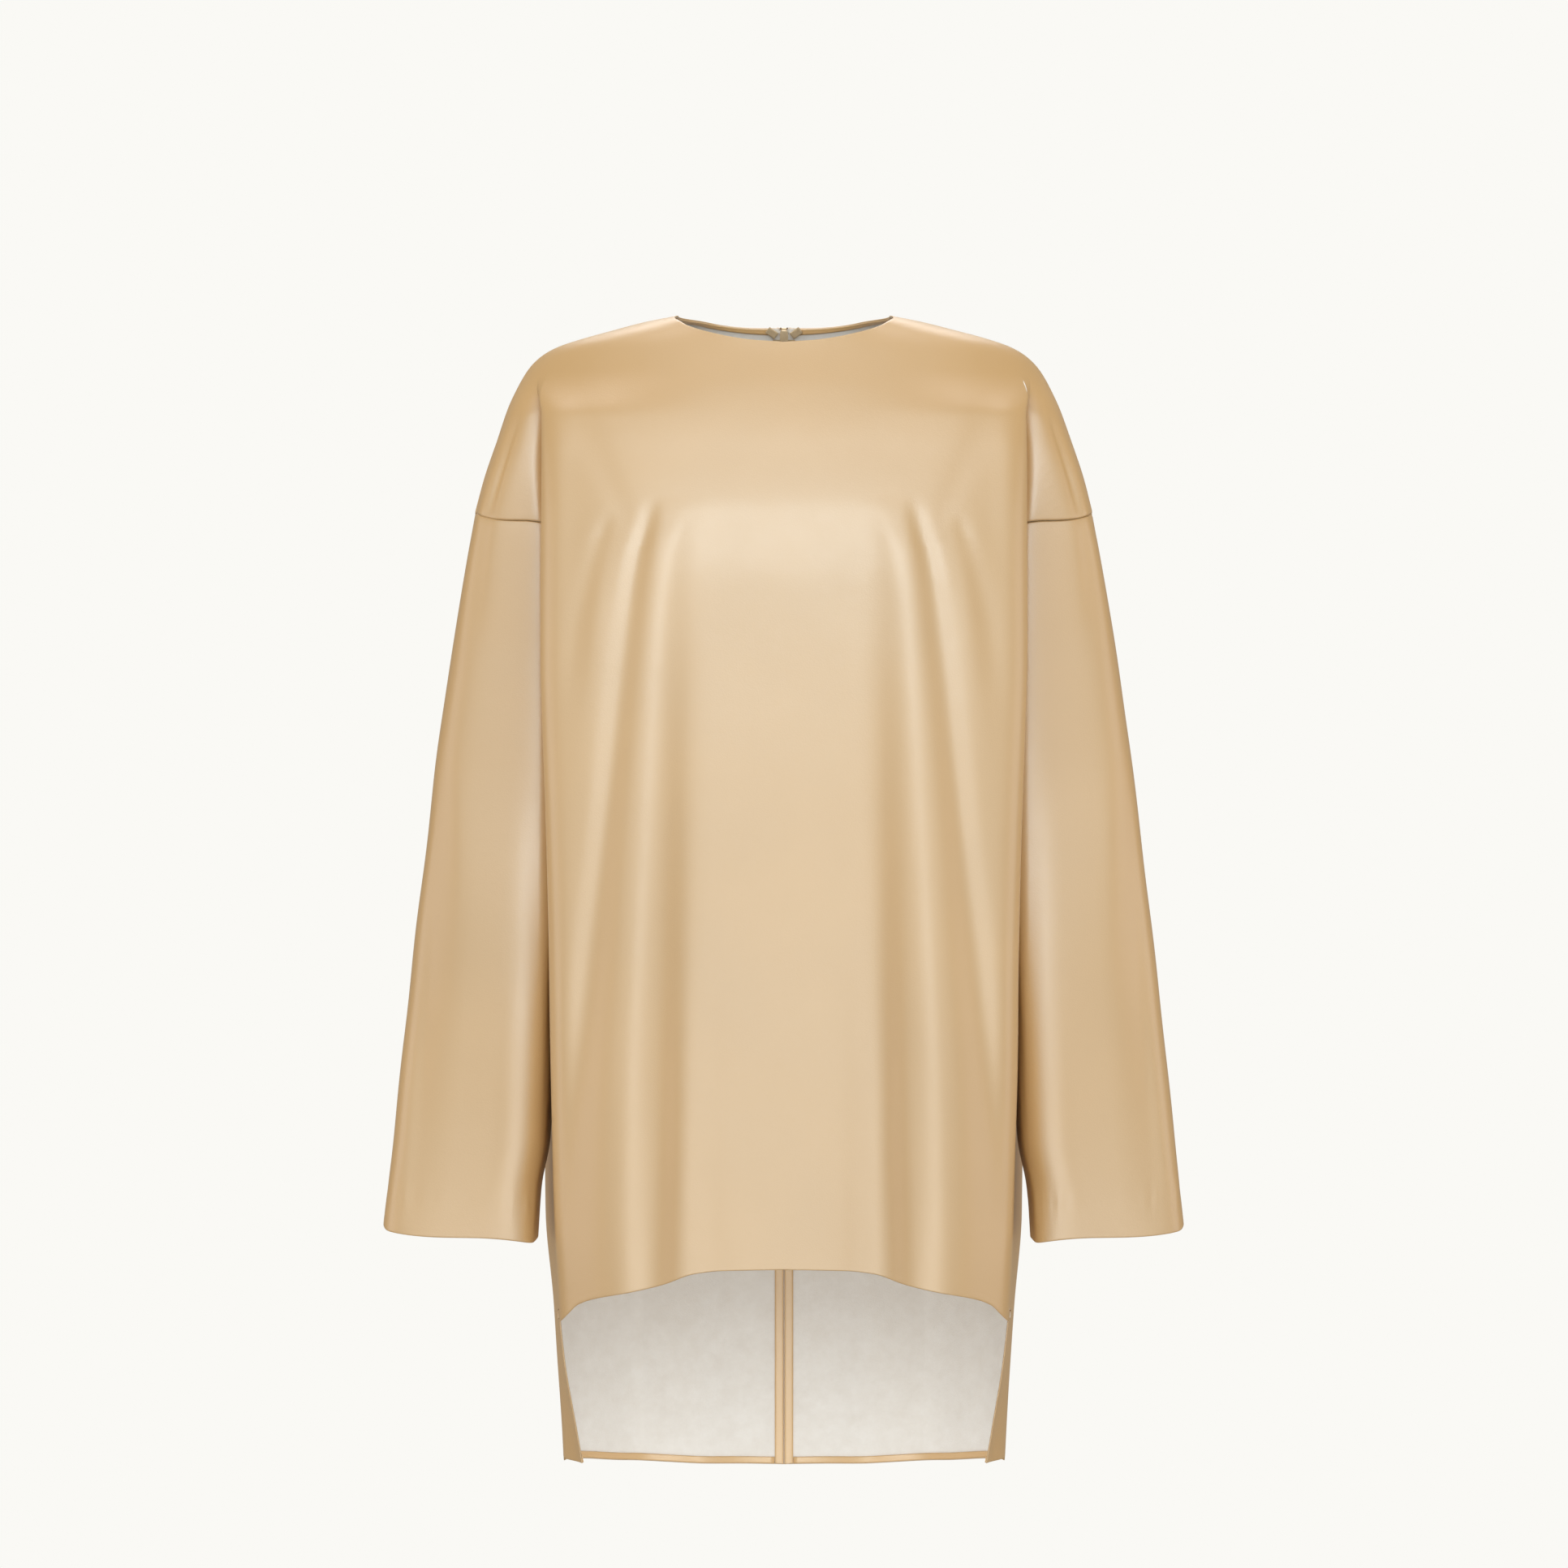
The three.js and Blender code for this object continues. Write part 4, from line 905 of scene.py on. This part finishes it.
front = Cloth()
left = half_panel(front, FRONT, "left")
right = half_panel(front, FRONT, "right", left)
draw_in(front, [left[0], left[1]], [left[2], left[3]])
draw_in(front, [right[0][:, 1:], right[1][:, 1:]], [right[2][:, 1:], right[3][:, 1:]])
used = np.unique(front.faces)
renumber = np.zeros(len(front.points), int)
renumber[used] = np.arange(len(used))
front.points = front.points[used]
front.faces = renumber[front.faces]
pieces = {"front": front.wall("front_cloth", CLOTH, [face, backing])}
backs = {}
for hand in HANDS:
    back = Cloth()
    high, low, depth_high, depth_low = half_panel(back, BACK, hand)
    draw_in(back, [high, low], [depth_high, depth_low])
    pieces[f"back_{hand}"] = back.wall(f"back_cloth_{hand}", CLOTH, [face, backing])
    backs[hand] = (back, high, low)


def armhole_loop():
    """Angles and levels round the armhole seam, from the shoulder seam over the front."""
    t = between(0, 1, ARM_COLUMNS * ARM_FINE)
    t = without_twins(t, [CLOSE_SHARE])
    z = mix(YOKE_ROWS[YOKE_END]["front_ridge"], CROSSING_Z, t)
    over = mix(at(ARM, "ridge", z), at(ARM, "crease", z), t)
    hidden_z = between(CROSSING_Z, UNDERARM_Z, 5 * FINE)[1:]
    hidden = at(ARM, "crease", hidden_z)
    over_back = mix(at(ARM, "ridge", z), -at(ARM, "crease", z), t)
    deg = np.concatenate([over, hidden, 360 - hidden[:-1][::-1], 360 + over_back[1:][::-1]])
    levels = np.concatenate([z, hidden_z, hidden_z[:-1][::-1], z[1:][::-1]])
    return deg, levels


def sleeve(hand):
    deg, tops = armhole_loop()
    uneven = UNEVEN[hand]
    hem_rows = 1 - (1 - HEM_SHARE) * SLEEVE_HEM_RISES[1:] / SLEEVE_HEM
    rows = without_twins(between(0, 1, SLEEVE_ROWS * FINE), [SEAM_SHARE], hem_rows)
    t, turn = np.meshgrid(rows, deg, indexing="ij")
    lean = np.cos(np.radians(turn))
    cuff = CUFF_Z + CUFF_TILT * lean + CUFF_CORNER * np.abs(lean) ** 14
    hem_top = cuff + SLEEVE_HEM
    z = np.where(
        t < HEM_SHARE,
        mix(tops[None, :], hem_top, t / HEM_SHARE),
        mix(hem_top, cuff, (t - HEM_SHARE) / (1 - HEM_SHARE)),
    )
    points = np.stack([*arm_point(turn, z), z], -1)
    points[0] += unit(points[1] - points[0]) * SEAM_GAP
    depth = -arm_push(SLEEVE_FOLDS, np.mod(turn, 360), z, uneven)
    depth += np.interp(t, [0, SEAM_SHARE], [SEAM_DIP, 0])
    above = z - cuff
    depth += np.interp(above, SLEEVE_HEM_RISES, SLEEVE_HEM_DIPS)
    flip = 1 if hand == "left" else -1
    depth -= UNEVENNESS["sleeve"] * ripple(points[..., 1] * flip, points[..., 2], SEEDS["sleeve"])
    near_seam = np.exp(-((t * SLEEVE_LENGTH / GATHER_REACH["sleeve"]) ** 2))
    seam_seed = SEEDS["front"] + HAND_SEED * flip
    depth -= ARMHOLE_GATHER * near_seam * pucker(points[..., 1] + GATHER_SHIFT, seam_seed)
    near_hem = np.exp(-(((above - SLEEVE_HEM) / GATHER_REACH["hem"]) ** 2))
    depth -= HEM_GATHER * near_hem * pucker(points[..., 0] * 2, SEEDS["hem"] + HAND_SEED * flip)
    if hand == "right":
        points = points * MIRROR
    cloth = Cloth()
    numbers = cloth.add(points)
    cloth.cover(numbers, hand == "left", True)
    draw_in(cloth, [numbers], [depth])
    return cloth.wall(f"sleeve_cloth_{hand}", CLOTH, [face, backing])


for hand in HANDS:
    pieces[f"sleeve_{hand}"] = sleeve(hand)

dress(pieces["front"], "front_panel")
for hand in HANDS:
    dress(pieces[f"back_{hand}"], f"back_panel_{hand}")
    dress(pieces[f"sleeve_{hand}"], f"sleeve_{hand}")

# Turned-in strips and the zip, inside the back

SEAM_ALLOWANCE = 6.7
ZIP_TAPE = 8
NECK_TURN = 5.4
HEM_TURN = 5.2
LAYER_GAP = 0.15
STRIP_STEPS = 4
FREE_EDGE_LIFT = 0.25
TURN_START = 0.1  # strips start this far from the cloth's edge
BAND_START = 0.05
ZIP_CLEARANCE = 0.4
SEAM_CLEARANCE = 0.3


def back_lines(hand):
    """The inner points of a back and its normals, by row and column, for the yoke and the whole length."""
    cloth, high, low = backs[hand]
    normals = cloth.normals()
    inner = cloth.points - normals * CLOTH
    whole = np.concatenate([high[:, :low.shape[1]], low])
    return [(inner[numbers], normals[numbers]) for numbers in (high, whole)]


def along(points, normals, start, end):
    """Points and normals at even steps of each line, between two distances from its first point."""
    steps = np.linspace(start, end, STRIP_STEPS + 1)
    runs = [run_of(line) for line in points]
    found = []
    for values in (points, normals):
        found.append(np.array([read_along(steps, run, line) for run, line in zip(runs, values)]))
    return found


def strip(name, node_name, band, material):
    """A strip that lies on the inside of the back, its free edge a little proud, in place of its solid."""
    lift = LAYER_GAP + FREE_EDGE_LIFT * np.linspace(0, 1, STRIP_STEPS + 1) ** 3
    points, normals = band
    cloth = Cloth()
    numbers = cloth.add(points - normals * lift[:, None])
    cloth.cover(numbers)
    cloth.face_along(normals.reshape(-1, 3))
    return dress(cloth.wall(name, STRIP, [material], inner_slot=0), node_name)


CORNER_STEPS = 4


class Hard:
    """Closed shells that become one hard piece."""

    def __init__(self):
        self.points = []
        self.faces = []

    def loft(self, rings, ring_closed=False):
        """Joins rings of equally many points; the last joins the first, or each end is closed."""
        rings = np.asarray(rings, float)
        count, width = rings.shape[:2]
        start = len(self.points)
        faces = []
        for r in range(count if ring_closed else count - 1):
            for k in range(width):
                a = r * width + k
                b = r * width + (k + 1) % width
                shift = ((r + 1) % count - r) * width
                faces.append([a, b, b + shift, a + shift])
        if not ring_closed:
            faces.append(list(range(width))[::-1])
            faces.append([(count - 1) * width + k for k in range(width)])
        flat = rings.reshape(-1, 3)
        volume = 0
        for face in faces:
            for k in range(1, len(face) - 1):
                volume += np.dot(flat[face[0]], np.cross(flat[face[k]], flat[face[k + 1]]))
        if volume < 0:
            faces = [face[::-1] for face in faces]
        self.points.extend(flat.tolist())
        self.faces.extend([[start + v for v in face] for face in faces])

    def piece(self, name, material):
        return make(name, np.array(self.points), self.faces, [material])


def rounded(corners, radius):
    """An outline with its corners rounded."""
    corners = np.array(corners, float)
    ends = []
    for shift in (1, -1):
        towards = np.roll(corners, shift, 0) - corners
        length = np.linalg.norm(towards, axis=1, keepdims=True)
        ends.append(corners + unit(towards) * np.minimum(radius, length * 0.45))
    t = between(0, 1, CORNER_STEPS)[:, None]
    outline = []
    for first, corner, last in zip(ends[0], corners, ends[1]):
        outline.append(first * (1 - t) ** 2 + 2 * corner * t * (1 - t) + last * t * t)
    return np.concatenate(outline)


def inset(outline, by):
    """An outline moved in by a distance, or out by a negative one."""
    before = outline - np.roll(outline, 1, 0)
    after = np.roll(outline, -1, 0) - outline
    way = unit(unit(before) + unit(after))
    across = np.stack([-way[:, 1], way[:, 0]], -1)
    area = np.sum(outline[:, 0] * np.roll(outline[:, 1], -1) - np.roll(outline[:, 0], -1) * outline[:, 1])
    return outline + across * by * np.sign(area)


def at_depth(outline, y):
    return np.stack([outline[:, 0], np.full(len(outline), y), outline[:, 1]], -1)


def plate_rings(outline, start, thickness, bevel):
    """Rings of a flat plate with eased edges."""
    rings = []
    for t in (0, 0.5, 1):
        away = bevel * (1 - math.sin(t * math.pi / 2))
        rings.append(at_depth(inset(outline, away), start + bevel * (1 - math.cos(t * math.pi / 2))))
    mirrored = [at_depth(ring[:, [0, 2]], 2 * start + thickness - ring[0, 1]) for ring in rings[::-1]]
    return rings + mirrored


def outline_at(outline, angles, centre):
    """Where lines from a point, at given angles, meet an outline round it."""
    ends = np.roll(outline, -1, 0)
    found = []
    for angle in angles:
        way = np.array([math.cos(angle), math.sin(angle)])
        best = 0.0
        for a, b in zip(outline - centre, ends - centre):
            side = b - a
            cross = way[0] * side[1] - way[1] * side[0]
            if abs(cross) < 1e-9:
                continue
            far = (a[0] * side[1] - a[1] * side[0]) / cross
            share = (a[0] * way[1] - a[1] * way[0]) / cross
            if -1e-6 <= share <= 1 + 1e-6 and far > best:
                best = far
        found.append(centre + way * best)
    return np.array(found)


ZIP_HEAD_Z = -9
ZIP_LEAN = math.radians(25.6)
SLIDER = {"half_width": 3.1, "shoulder": 2.2, "top": 4.2, "waist": 0.8, "foot": -5, "flank": -3.8}
SLIDER_INNER = {"start": -4.55, "thickness": 1.5}
SLIDER_OUTER = {"start": 0.4, "thickness": 1.4}
SLIDER_NECK = {"half_width": 0.8, "foot": 0.6, "top": 3}
BRIDGE = {"half_width": 0.8, "foot": -2.4, "top": 3.1, "rise": 3.2, "bar": 0.9}
PULL = {"width": 5.4, "length": 24, "thickness": 1.4, "corner": 1.1, "y": 2.95, "z": 0.35}
PULL_EYE = {"width": 2.6, "reach": 3.8, "corner": 0.7}
TAPE_END = {"width": 8.2, "height": 5.4, "depth": 2, "wall": 0.6}
TAPE_END_PLACE = (9, -4, 2.3)
TAPE_END_TILT = math.radians(38)
STITCH = {
    "first": 2.5,
    "pitch": 3.0,
    "column": 3,
    "rise": 0.2,
    "sides": 5,
    "half": (0.19, 0.19),
    "steps": ((-1.25, 0.5, 0.22), (-0.9, 1, 0), (0.9, 1, 0), (1.25, 0.5, 0.22)),
}
TOOTH = {
    "first": 1.5,
    "pitch": 1.3,
    "rise": 0.3,
    "sides": 6,
    "half": (0.4, 0.45),
    "steps": ((0.25, 0.55, 0), (0.52, 1, 0), (2.23, 1, 0), (2.5, 0.55, 0)),
}
ROW_END_GAP = 2  # teeth and stitches stop this far above the tape's foot
PLATE_CORNER = 0.9
PLATE_BEVEL = 0.35
OVERLAP = 0.2  # the slider's neck goes this far into its plates
BRIDGE_SINK = 0.3
BRIDGE_SQUARE = 0.45  # power that squares the bridge's arch
BAR_SQUARE = 0.6


def on_zip(points, turn=0.0, place=(0, 0, 0)):
    """Puts points on the leaning plane at the head of the zip, after a turn in that plane."""
    x, y, z = np.moveaxis(np.asarray(points, float), -1, 0)
    across = x * math.cos(turn) + z * math.sin(turn) + place[0]
    out = y + place[1]
    up = z * math.cos(turn) - x * math.sin(turn) + place[2]
    leaning_y = out * math.cos(ZIP_LEAN) - up * math.sin(ZIP_LEAN)
    leaning_z = out * math.sin(ZIP_LEAN) + up * math.cos(ZIP_LEAN)
    return np.stack([across, leaning_y + at(CENTRE, "back", ZIP_HEAD_Z), leaning_z + ZIP_HEAD_Z], -1)


def slider_piece():
    """Two plates with a neck between them, and an arched bridge for the pull."""
    half, shoulder = SLIDER["half_width"], SLIDER["shoulder"]
    heights = [SLIDER[key] for key in ("foot", "flank", "waist", "top")]
    side = list(zip((shoulder, half, half, shoulder), heights))
    outline = rounded(side + [(-x, z) for x, z in side[::-1]], PLATE_CORNER)
    body = Hard()
    for plate in (SLIDER_INNER, SLIDER_OUTER):
        body.loft(on_zip(plate_rings(outline, plate["start"], plate["thickness"], PLATE_BEVEL)))
    w, foot, top = SLIDER_NECK.values()
    core = rounded([(-w, foot), (w, foot), (w, top), (-w, top)], 0.4)
    reach_in = SLIDER_INNER["start"] + SLIDER_INNER["thickness"] - OVERLAP
    body.loft(on_zip([at_depth(core, reach_in), at_depth(core, SLIDER_OUTER["start"] + OVERLAP)]))
    face_y = SLIDER_OUTER["start"] + SLIDER_OUTER["thickness"]
    low, high = BRIDGE["foot"] + BRIDGE["bar"] / 2, BRIDGE["top"] - BRIDGE["bar"] / 2
    arch = []
    for t in np.linspace(0, 1, 25):
        turn = math.pi * t
        z = (low + high) / 2 - (high - low) / 2 * signed_power(math.cos(turn), BRIDGE_SQUARE)
        lift = BRIDGE["rise"] - BRIDGE["bar"] / 2 + BRIDGE_SINK
        y = face_y - BRIDGE_SINK + lift * abs(math.sin(turn)) ** BRIDGE_SQUARE
        arch.append((y, z))
    arch = np.array(arch)
    way = unit(np.gradient(arch, axis=0))
    around = np.radians(np.arange(0, 360, 30))
    rings = []
    for (y, z), (dy, dz) in zip(arch, way):
        wide = BRIDGE["half_width"] * signed_power(np.cos(around), BAR_SQUARE)
        thick = BRIDGE["bar"] / 2 * signed_power(np.sin(around), BAR_SQUARE)
        rings.append(np.stack([wide, y + dz * thick, z - dy * thick], -1))
    body.loft(on_zip(rings))
    return body.piece("zip_slider_body", metal)


def bevel_steps(radius, middle, bar):
    """Steps of (how far in, depth) over two eased edges, from the inner face to the outer one."""
    edge = [(radius, -bar), (middle, -bar + middle), (0, -bar + radius)]
    return edge + [(away, -y) for away, y in edge[::-1]]


def pull_piece():
    """A flat tab with an eye over the slider's bridge and eased edges."""
    w, bar = PULL["width"] / 2, PULL["thickness"] / 2
    foot = bar - PULL["length"]
    outline = rounded([(-w, foot), (w, foot), (w, bar), (-w, bar)], PULL["corner"])
    e, low = PULL_EYE["width"] / 2, -PULL_EYE["reach"]
    eye = rounded([(-e, low), (e, low), (e, -bar), (-e, -bar)], PULL_EYE["corner"])
    centre = np.array([0, (low - bar) / 2])
    turns = [math.atan2(z - centre[1], x) for x, z in np.concatenate([outline, eye])]
    angles = np.unique(np.round(np.concatenate([turns, np.linspace(-math.pi, math.pi, 49)[:-1]]), 5))
    rings = []
    for away, y in bevel_steps(0.3, 0.09, bar):
        rings.append(at_depth(outline_at(inset(outline, away), angles, centre), y))
    for away, y in bevel_steps(0.25, 0.07, bar)[::-1]:
        rings.append(at_depth(outline_at(inset(eye, -away), angles, centre), y))
    tab = Hard()
    tab.loft(on_zip(rings, 0, (0, PULL["y"], PULL["z"])), ring_closed=True)
    return tab.piece("zip_pull_tab", metal)


def tape_fold(hand):
    """The end of a tape, folded over and tilted beside the slider."""
    flip = 1 if hand == "left" else -1
    deep = TAPE_END["depth"] / 2
    straight = np.linspace(-TAPE_END["height"] / 2, TAPE_END["height"] / 2 - deep, 7)
    over = np.linspace(0, math.pi, 9)[1:-1]
    path = [(-deep, z) for z in straight]
    path += [(-deep * math.cos(a), straight[-1] + deep * math.sin(a)) for a in over]
    path += [(deep, z) for z in straight[::-1]]
    xs = np.linspace(-TAPE_END["width"] / 2, TAPE_END["width"] / 2, 9)
    points = np.array([[(x, y, z) for x in xs] for y, z in path])
    cloth = Cloth()
    place = np.array(TAPE_END_PLACE) * (flip, 1, 1)
    numbers = cloth.add(on_zip(points, -flip * TAPE_END_TILT, place))
    cloth.cover(numbers)
    cloth.face_along(cloth.points - np.mean(cloth.points, axis=0))
    return cloth.wall(f"tape_fold_{hand}", TAPE_END["wall"], [tape], inner_slot=0)


def along_tape(points, normals, first, pitch, column):
    """Places down one line of a tape, with the directions away from the zip, inward and down there."""
    line = points[:, column]
    away = points[:, -1] - points[:, 0]
    run = run_of(line)
    steps = np.arange(first, run[-1] - ROW_END_GAP, pitch)
    ways = [away, -normals[:, column], np.gradient(line, axis=0)]
    return zip(read_along(steps, run, line), *[unit(read_along(steps, run, way)) for way in ways])


def beads(name, material, places, size_of, down_the_row):
    """A row of small rounded bars on a tape, each lofted through steps of (distance, size, depth sunk)."""
    around = np.radians(np.arange(0, 360, 360 / size_of["sides"]))[:, None]
    wide, deep = size_of["half"]
    row = Hard()
    for edge, out, into, down in places:
        lengthwise, across = (down, out) if down_the_row else (out, down)
        base = edge + into * (LAYER_GAP + STRIP + size_of["rise"])
        section = np.cos(around) * across * wide + np.sin(around) * into * deep
        rings = []
        for distance, size, sunk in size_of["steps"]:
            rings.append(base + lengthwise * distance - into * sunk + section * size)
        row.loft(rings)
    return row.piece(name, material)


def teeth_piece(hand, band):
    """A row of teeth along the inner face of a tape; the two rows take turns."""
    first = TOOTH["first"] + (0 if hand == "left" else TOOTH["pitch"] / 2)
    places = along_tape(*band, first, TOOTH["pitch"], 0)
    return beads(f"zip_teeth_{hand}", metal, places, TOOTH, False)


def stitches_piece(hand, band):
    """The row of stitches that holds a tape to its back."""
    places = along_tape(*band, STITCH["first"], STITCH["pitch"], STITCH["column"])
    return beads(f"tape_stitches_{hand}", thread, places, STITCH, True)


strips = {}
for hand in HANDS:
    (yoke_points, yoke_normals), (points, normals) = back_lines(hand)
    level = points[:, 0, 2]
    on_tape = (level <= NOTCH_FOOT_Z) & (level >= ZIP_END_Z)
    on_seam = level <= ZIP_END_Z
    clear_of_zip = np.abs(yoke_points[0, :, 0]) > ZIP_TAPE + ZIP_CLEARANCE
    clear_of_seam = np.abs(points[-1, :, 0]) > SEAM_ALLOWANCE + SEAM_CLEARANCE
    from_neck = [values[:, clear_of_zip].swapaxes(0, 1) for values in (yoke_points, yoke_normals)]
    from_hem = [values[::-1, clear_of_seam].swapaxes(0, 1) for values in (points, normals)]
    neck = along(*from_neck, TURN_START, NECK_TURN)
    hem = along(*from_hem, TURN_START, HEM_TURN)
    zip_band = along(points[on_tape], normals[on_tape], BAND_START, ZIP_TAPE)
    seam_band = along(points[on_seam], normals[on_seam], BAND_START, SEAM_ALLOWANCE)
    # The neck, hem and seam strips wear the brightened cloth, painted light against their shade inside the
    # back.
    strips[hand] = [
        strip(f"neck_turn_{hand}", f"neck_turning_{hand}", neck, painted_light_turned_face),
        strip(f"hem_turn_{hand}", f"back_hem_turning_{hand}", hem, painted_light_turned_face),
        strip(f"seam_band_{hand}", f"back_seam_allowance_{hand}", seam_band, painted_light_turned_face),
        strip(f"tape_{hand}", f"zip_tape_{hand}", zip_band, tape),
    ]
    strips[hand] += [
        dress(tape_fold(hand), f"zip_tape_end_{hand}"),
        dress(teeth_piece(hand, zip_band)),
        dress(stitches_piece(hand, zip_band)),
    ]

dress(slider_piece(), "zip_slider")
dress(pull_piece(), "zip_pull", "pull_tab")

# Studio

PAPER = (0.956, 0.947, 0.913)
WORLD_STRENGTH = 0.9
FLOOR_RADIUS = 1900
FLOOR_Z = -1010
FLOOR_POINTS = 96
world = bpy.data.worlds.new("studio")
bpy.context.scene.world = world
world.use_nodes = True
tree = world.node_tree
background = tree.nodes["Background"]
background.inputs["Strength"].default_value = WORLD_STRENGTH
where = tree.nodes.new("ShaderNodeSeparateXYZ")
tree.links.new(tree.nodes.new("ShaderNodeTexCoord").outputs["Generated"], where.inputs["Vector"])
# From the front of the studio at 0 to its back at 1: what the gloss reflects, and what fills the shadows.
depth = to_range(tree, where.outputs["Y"], 0, 1, -1, 1)
reflections = ramp(
    tree,
    depth,
    [
        (0.0, (0.72, 0.86, 0.92)),
        (0.09, (0.66, 0.78, 0.84)),
        (0.23, (0.14, 0.14, 0.14)),
        (0.45, (0.17, 0.13, 0.09)),
        (0.8, (0.36, 0.27, 0.16)),
        (1.0, (0.5, 0.4, 0.28)),
    ],
)
fill = ramp(tree, depth, [(0.0, (1.0, 1.0, 1.0)), (1.0, (0.85, 0.85, 0.85))])
either = tree.nodes.new("ShaderNodeMixRGB")
rays = tree.nodes.new("ShaderNodeLightPath")
tree.links.new(rays.outputs["Is Glossy Ray"], either.inputs["Fac"])
tree.links.new(fill, either.inputs["Color1"])
tree.links.new(reflections, either.inputs["Color2"])
tree.links.new(either.outputs["Color"], background.inputs["Color"])
seen = tree.nodes.new("ShaderNodeBackground")
seen.inputs["Color"].default_value = (*PAPER, 1)
choose = tree.nodes.new("ShaderNodeMixShader")
tree.links.new(rays.outputs["Is Camera Ray"], choose.inputs["Fac"])
tree.links.new(background.outputs["Background"], choose.inputs[1])
tree.links.new(seen.outputs["Background"], choose.inputs[2])
tree.links.new(choose.outputs["Shader"], tree.nodes["World Output"].inputs["Surface"])

floor_material, tree, shader = shader_of("pale_floor")
set_values(shader, {"Base Color": (0, 0, 0, 1), "Roughness": 1.0, "Specular IOR Level": 0.0})
set_values(shader, {"Emission Color": (*PAPER, 1), "Emission Strength": 1.0})
around = between(0, 2 * math.pi, FLOOR_POINTS)[:-1]
rim = np.stack([np.cos(around), np.sin(around), np.zeros(FLOOR_POINTS)], -1) * FLOOR_RADIUS
floor = make("floor", rim + (0, 0, FLOOR_Z), [range(FLOOR_POINTS)], [floor_material], smooth=False)
floor.visible_glossy = False
floor.visible_diffuse = False


def softbox(name, place, aim, width, height, power, colour):
    """A rectangular lamp at a place in metres, aimed at another, with its power in watts."""
    light = bpy.data.lights.new(name, "AREA")
    light.shape = "RECTANGLE"
    light.size = width
    light.size_y = height
    light.energy = power
    light.color = colour
    lamp = bpy.data.objects.new(name, light)
    lamp.location = place
    lamp.rotation_euler = (Vector(aim) - Vector(place)).to_track_quat("-Z", "Y").to_euler()
    bpy.context.scene.collection.objects.link(lamp)


WHITE = (1.0, 1.0, 1.0)
MIDDLE = (0, 0, -0.4)
LIGHTS = (
    ("front_softbox", (0, -3.2, 0.5), MIDDLE, 1.2, 1.5, 23, (0.88, 1.0, 1.06)),
    ("low_softbox", (0, -2.8, -1.6), (0, 0.1, -0.78), 1.4, 0.8, 10, (0.96, 1.0, 1.0)),
    ("high_softbox", (0, -2.5, 2.3), (0, 0, -0.3), 2.4, 1.2, 16, (0.92, 1.0, 1.02)),
    ("top_softbox", (0, 0.2, 2.2), (0, 0, 0), 1.6, 1.2, 10, WHITE),
    ("back_softbox", (0, 3.0, 2.6), MIDDLE, 1.8, 1.6, 34, WHITE),
    ("left_softbox", (3.2, -0.5, -0.4), MIDDLE, 2.4, 2.4, 14, WHITE),
    ("right_softbox", (-3.2, -0.5, -0.4), MIDDLE, 2.4, 2.4, 14, WHITE),
)
for light in LIGHTS:
    softbox(*light)

# The camera looks level along +Y, as the photograph does.
CAMERA_PLACE = (0, -5, -0.346)
CAMERA_LENS = 155.3
camera = bpy.data.cameras.new("camera")
camera.lens = CAMERA_LENS
camera.sensor_width = 36
camera.clip_end = 60
viewer = bpy.data.objects.new("camera", camera)
viewer.location = CAMERA_PLACE
viewer.rotation_euler = (math.pi / 2, 0, 0)
bpy.context.scene.collection.objects.link(viewer)
bpy.context.scene.camera = viewer
bpy.context.scene.view_settings.view_transform = "Standard"
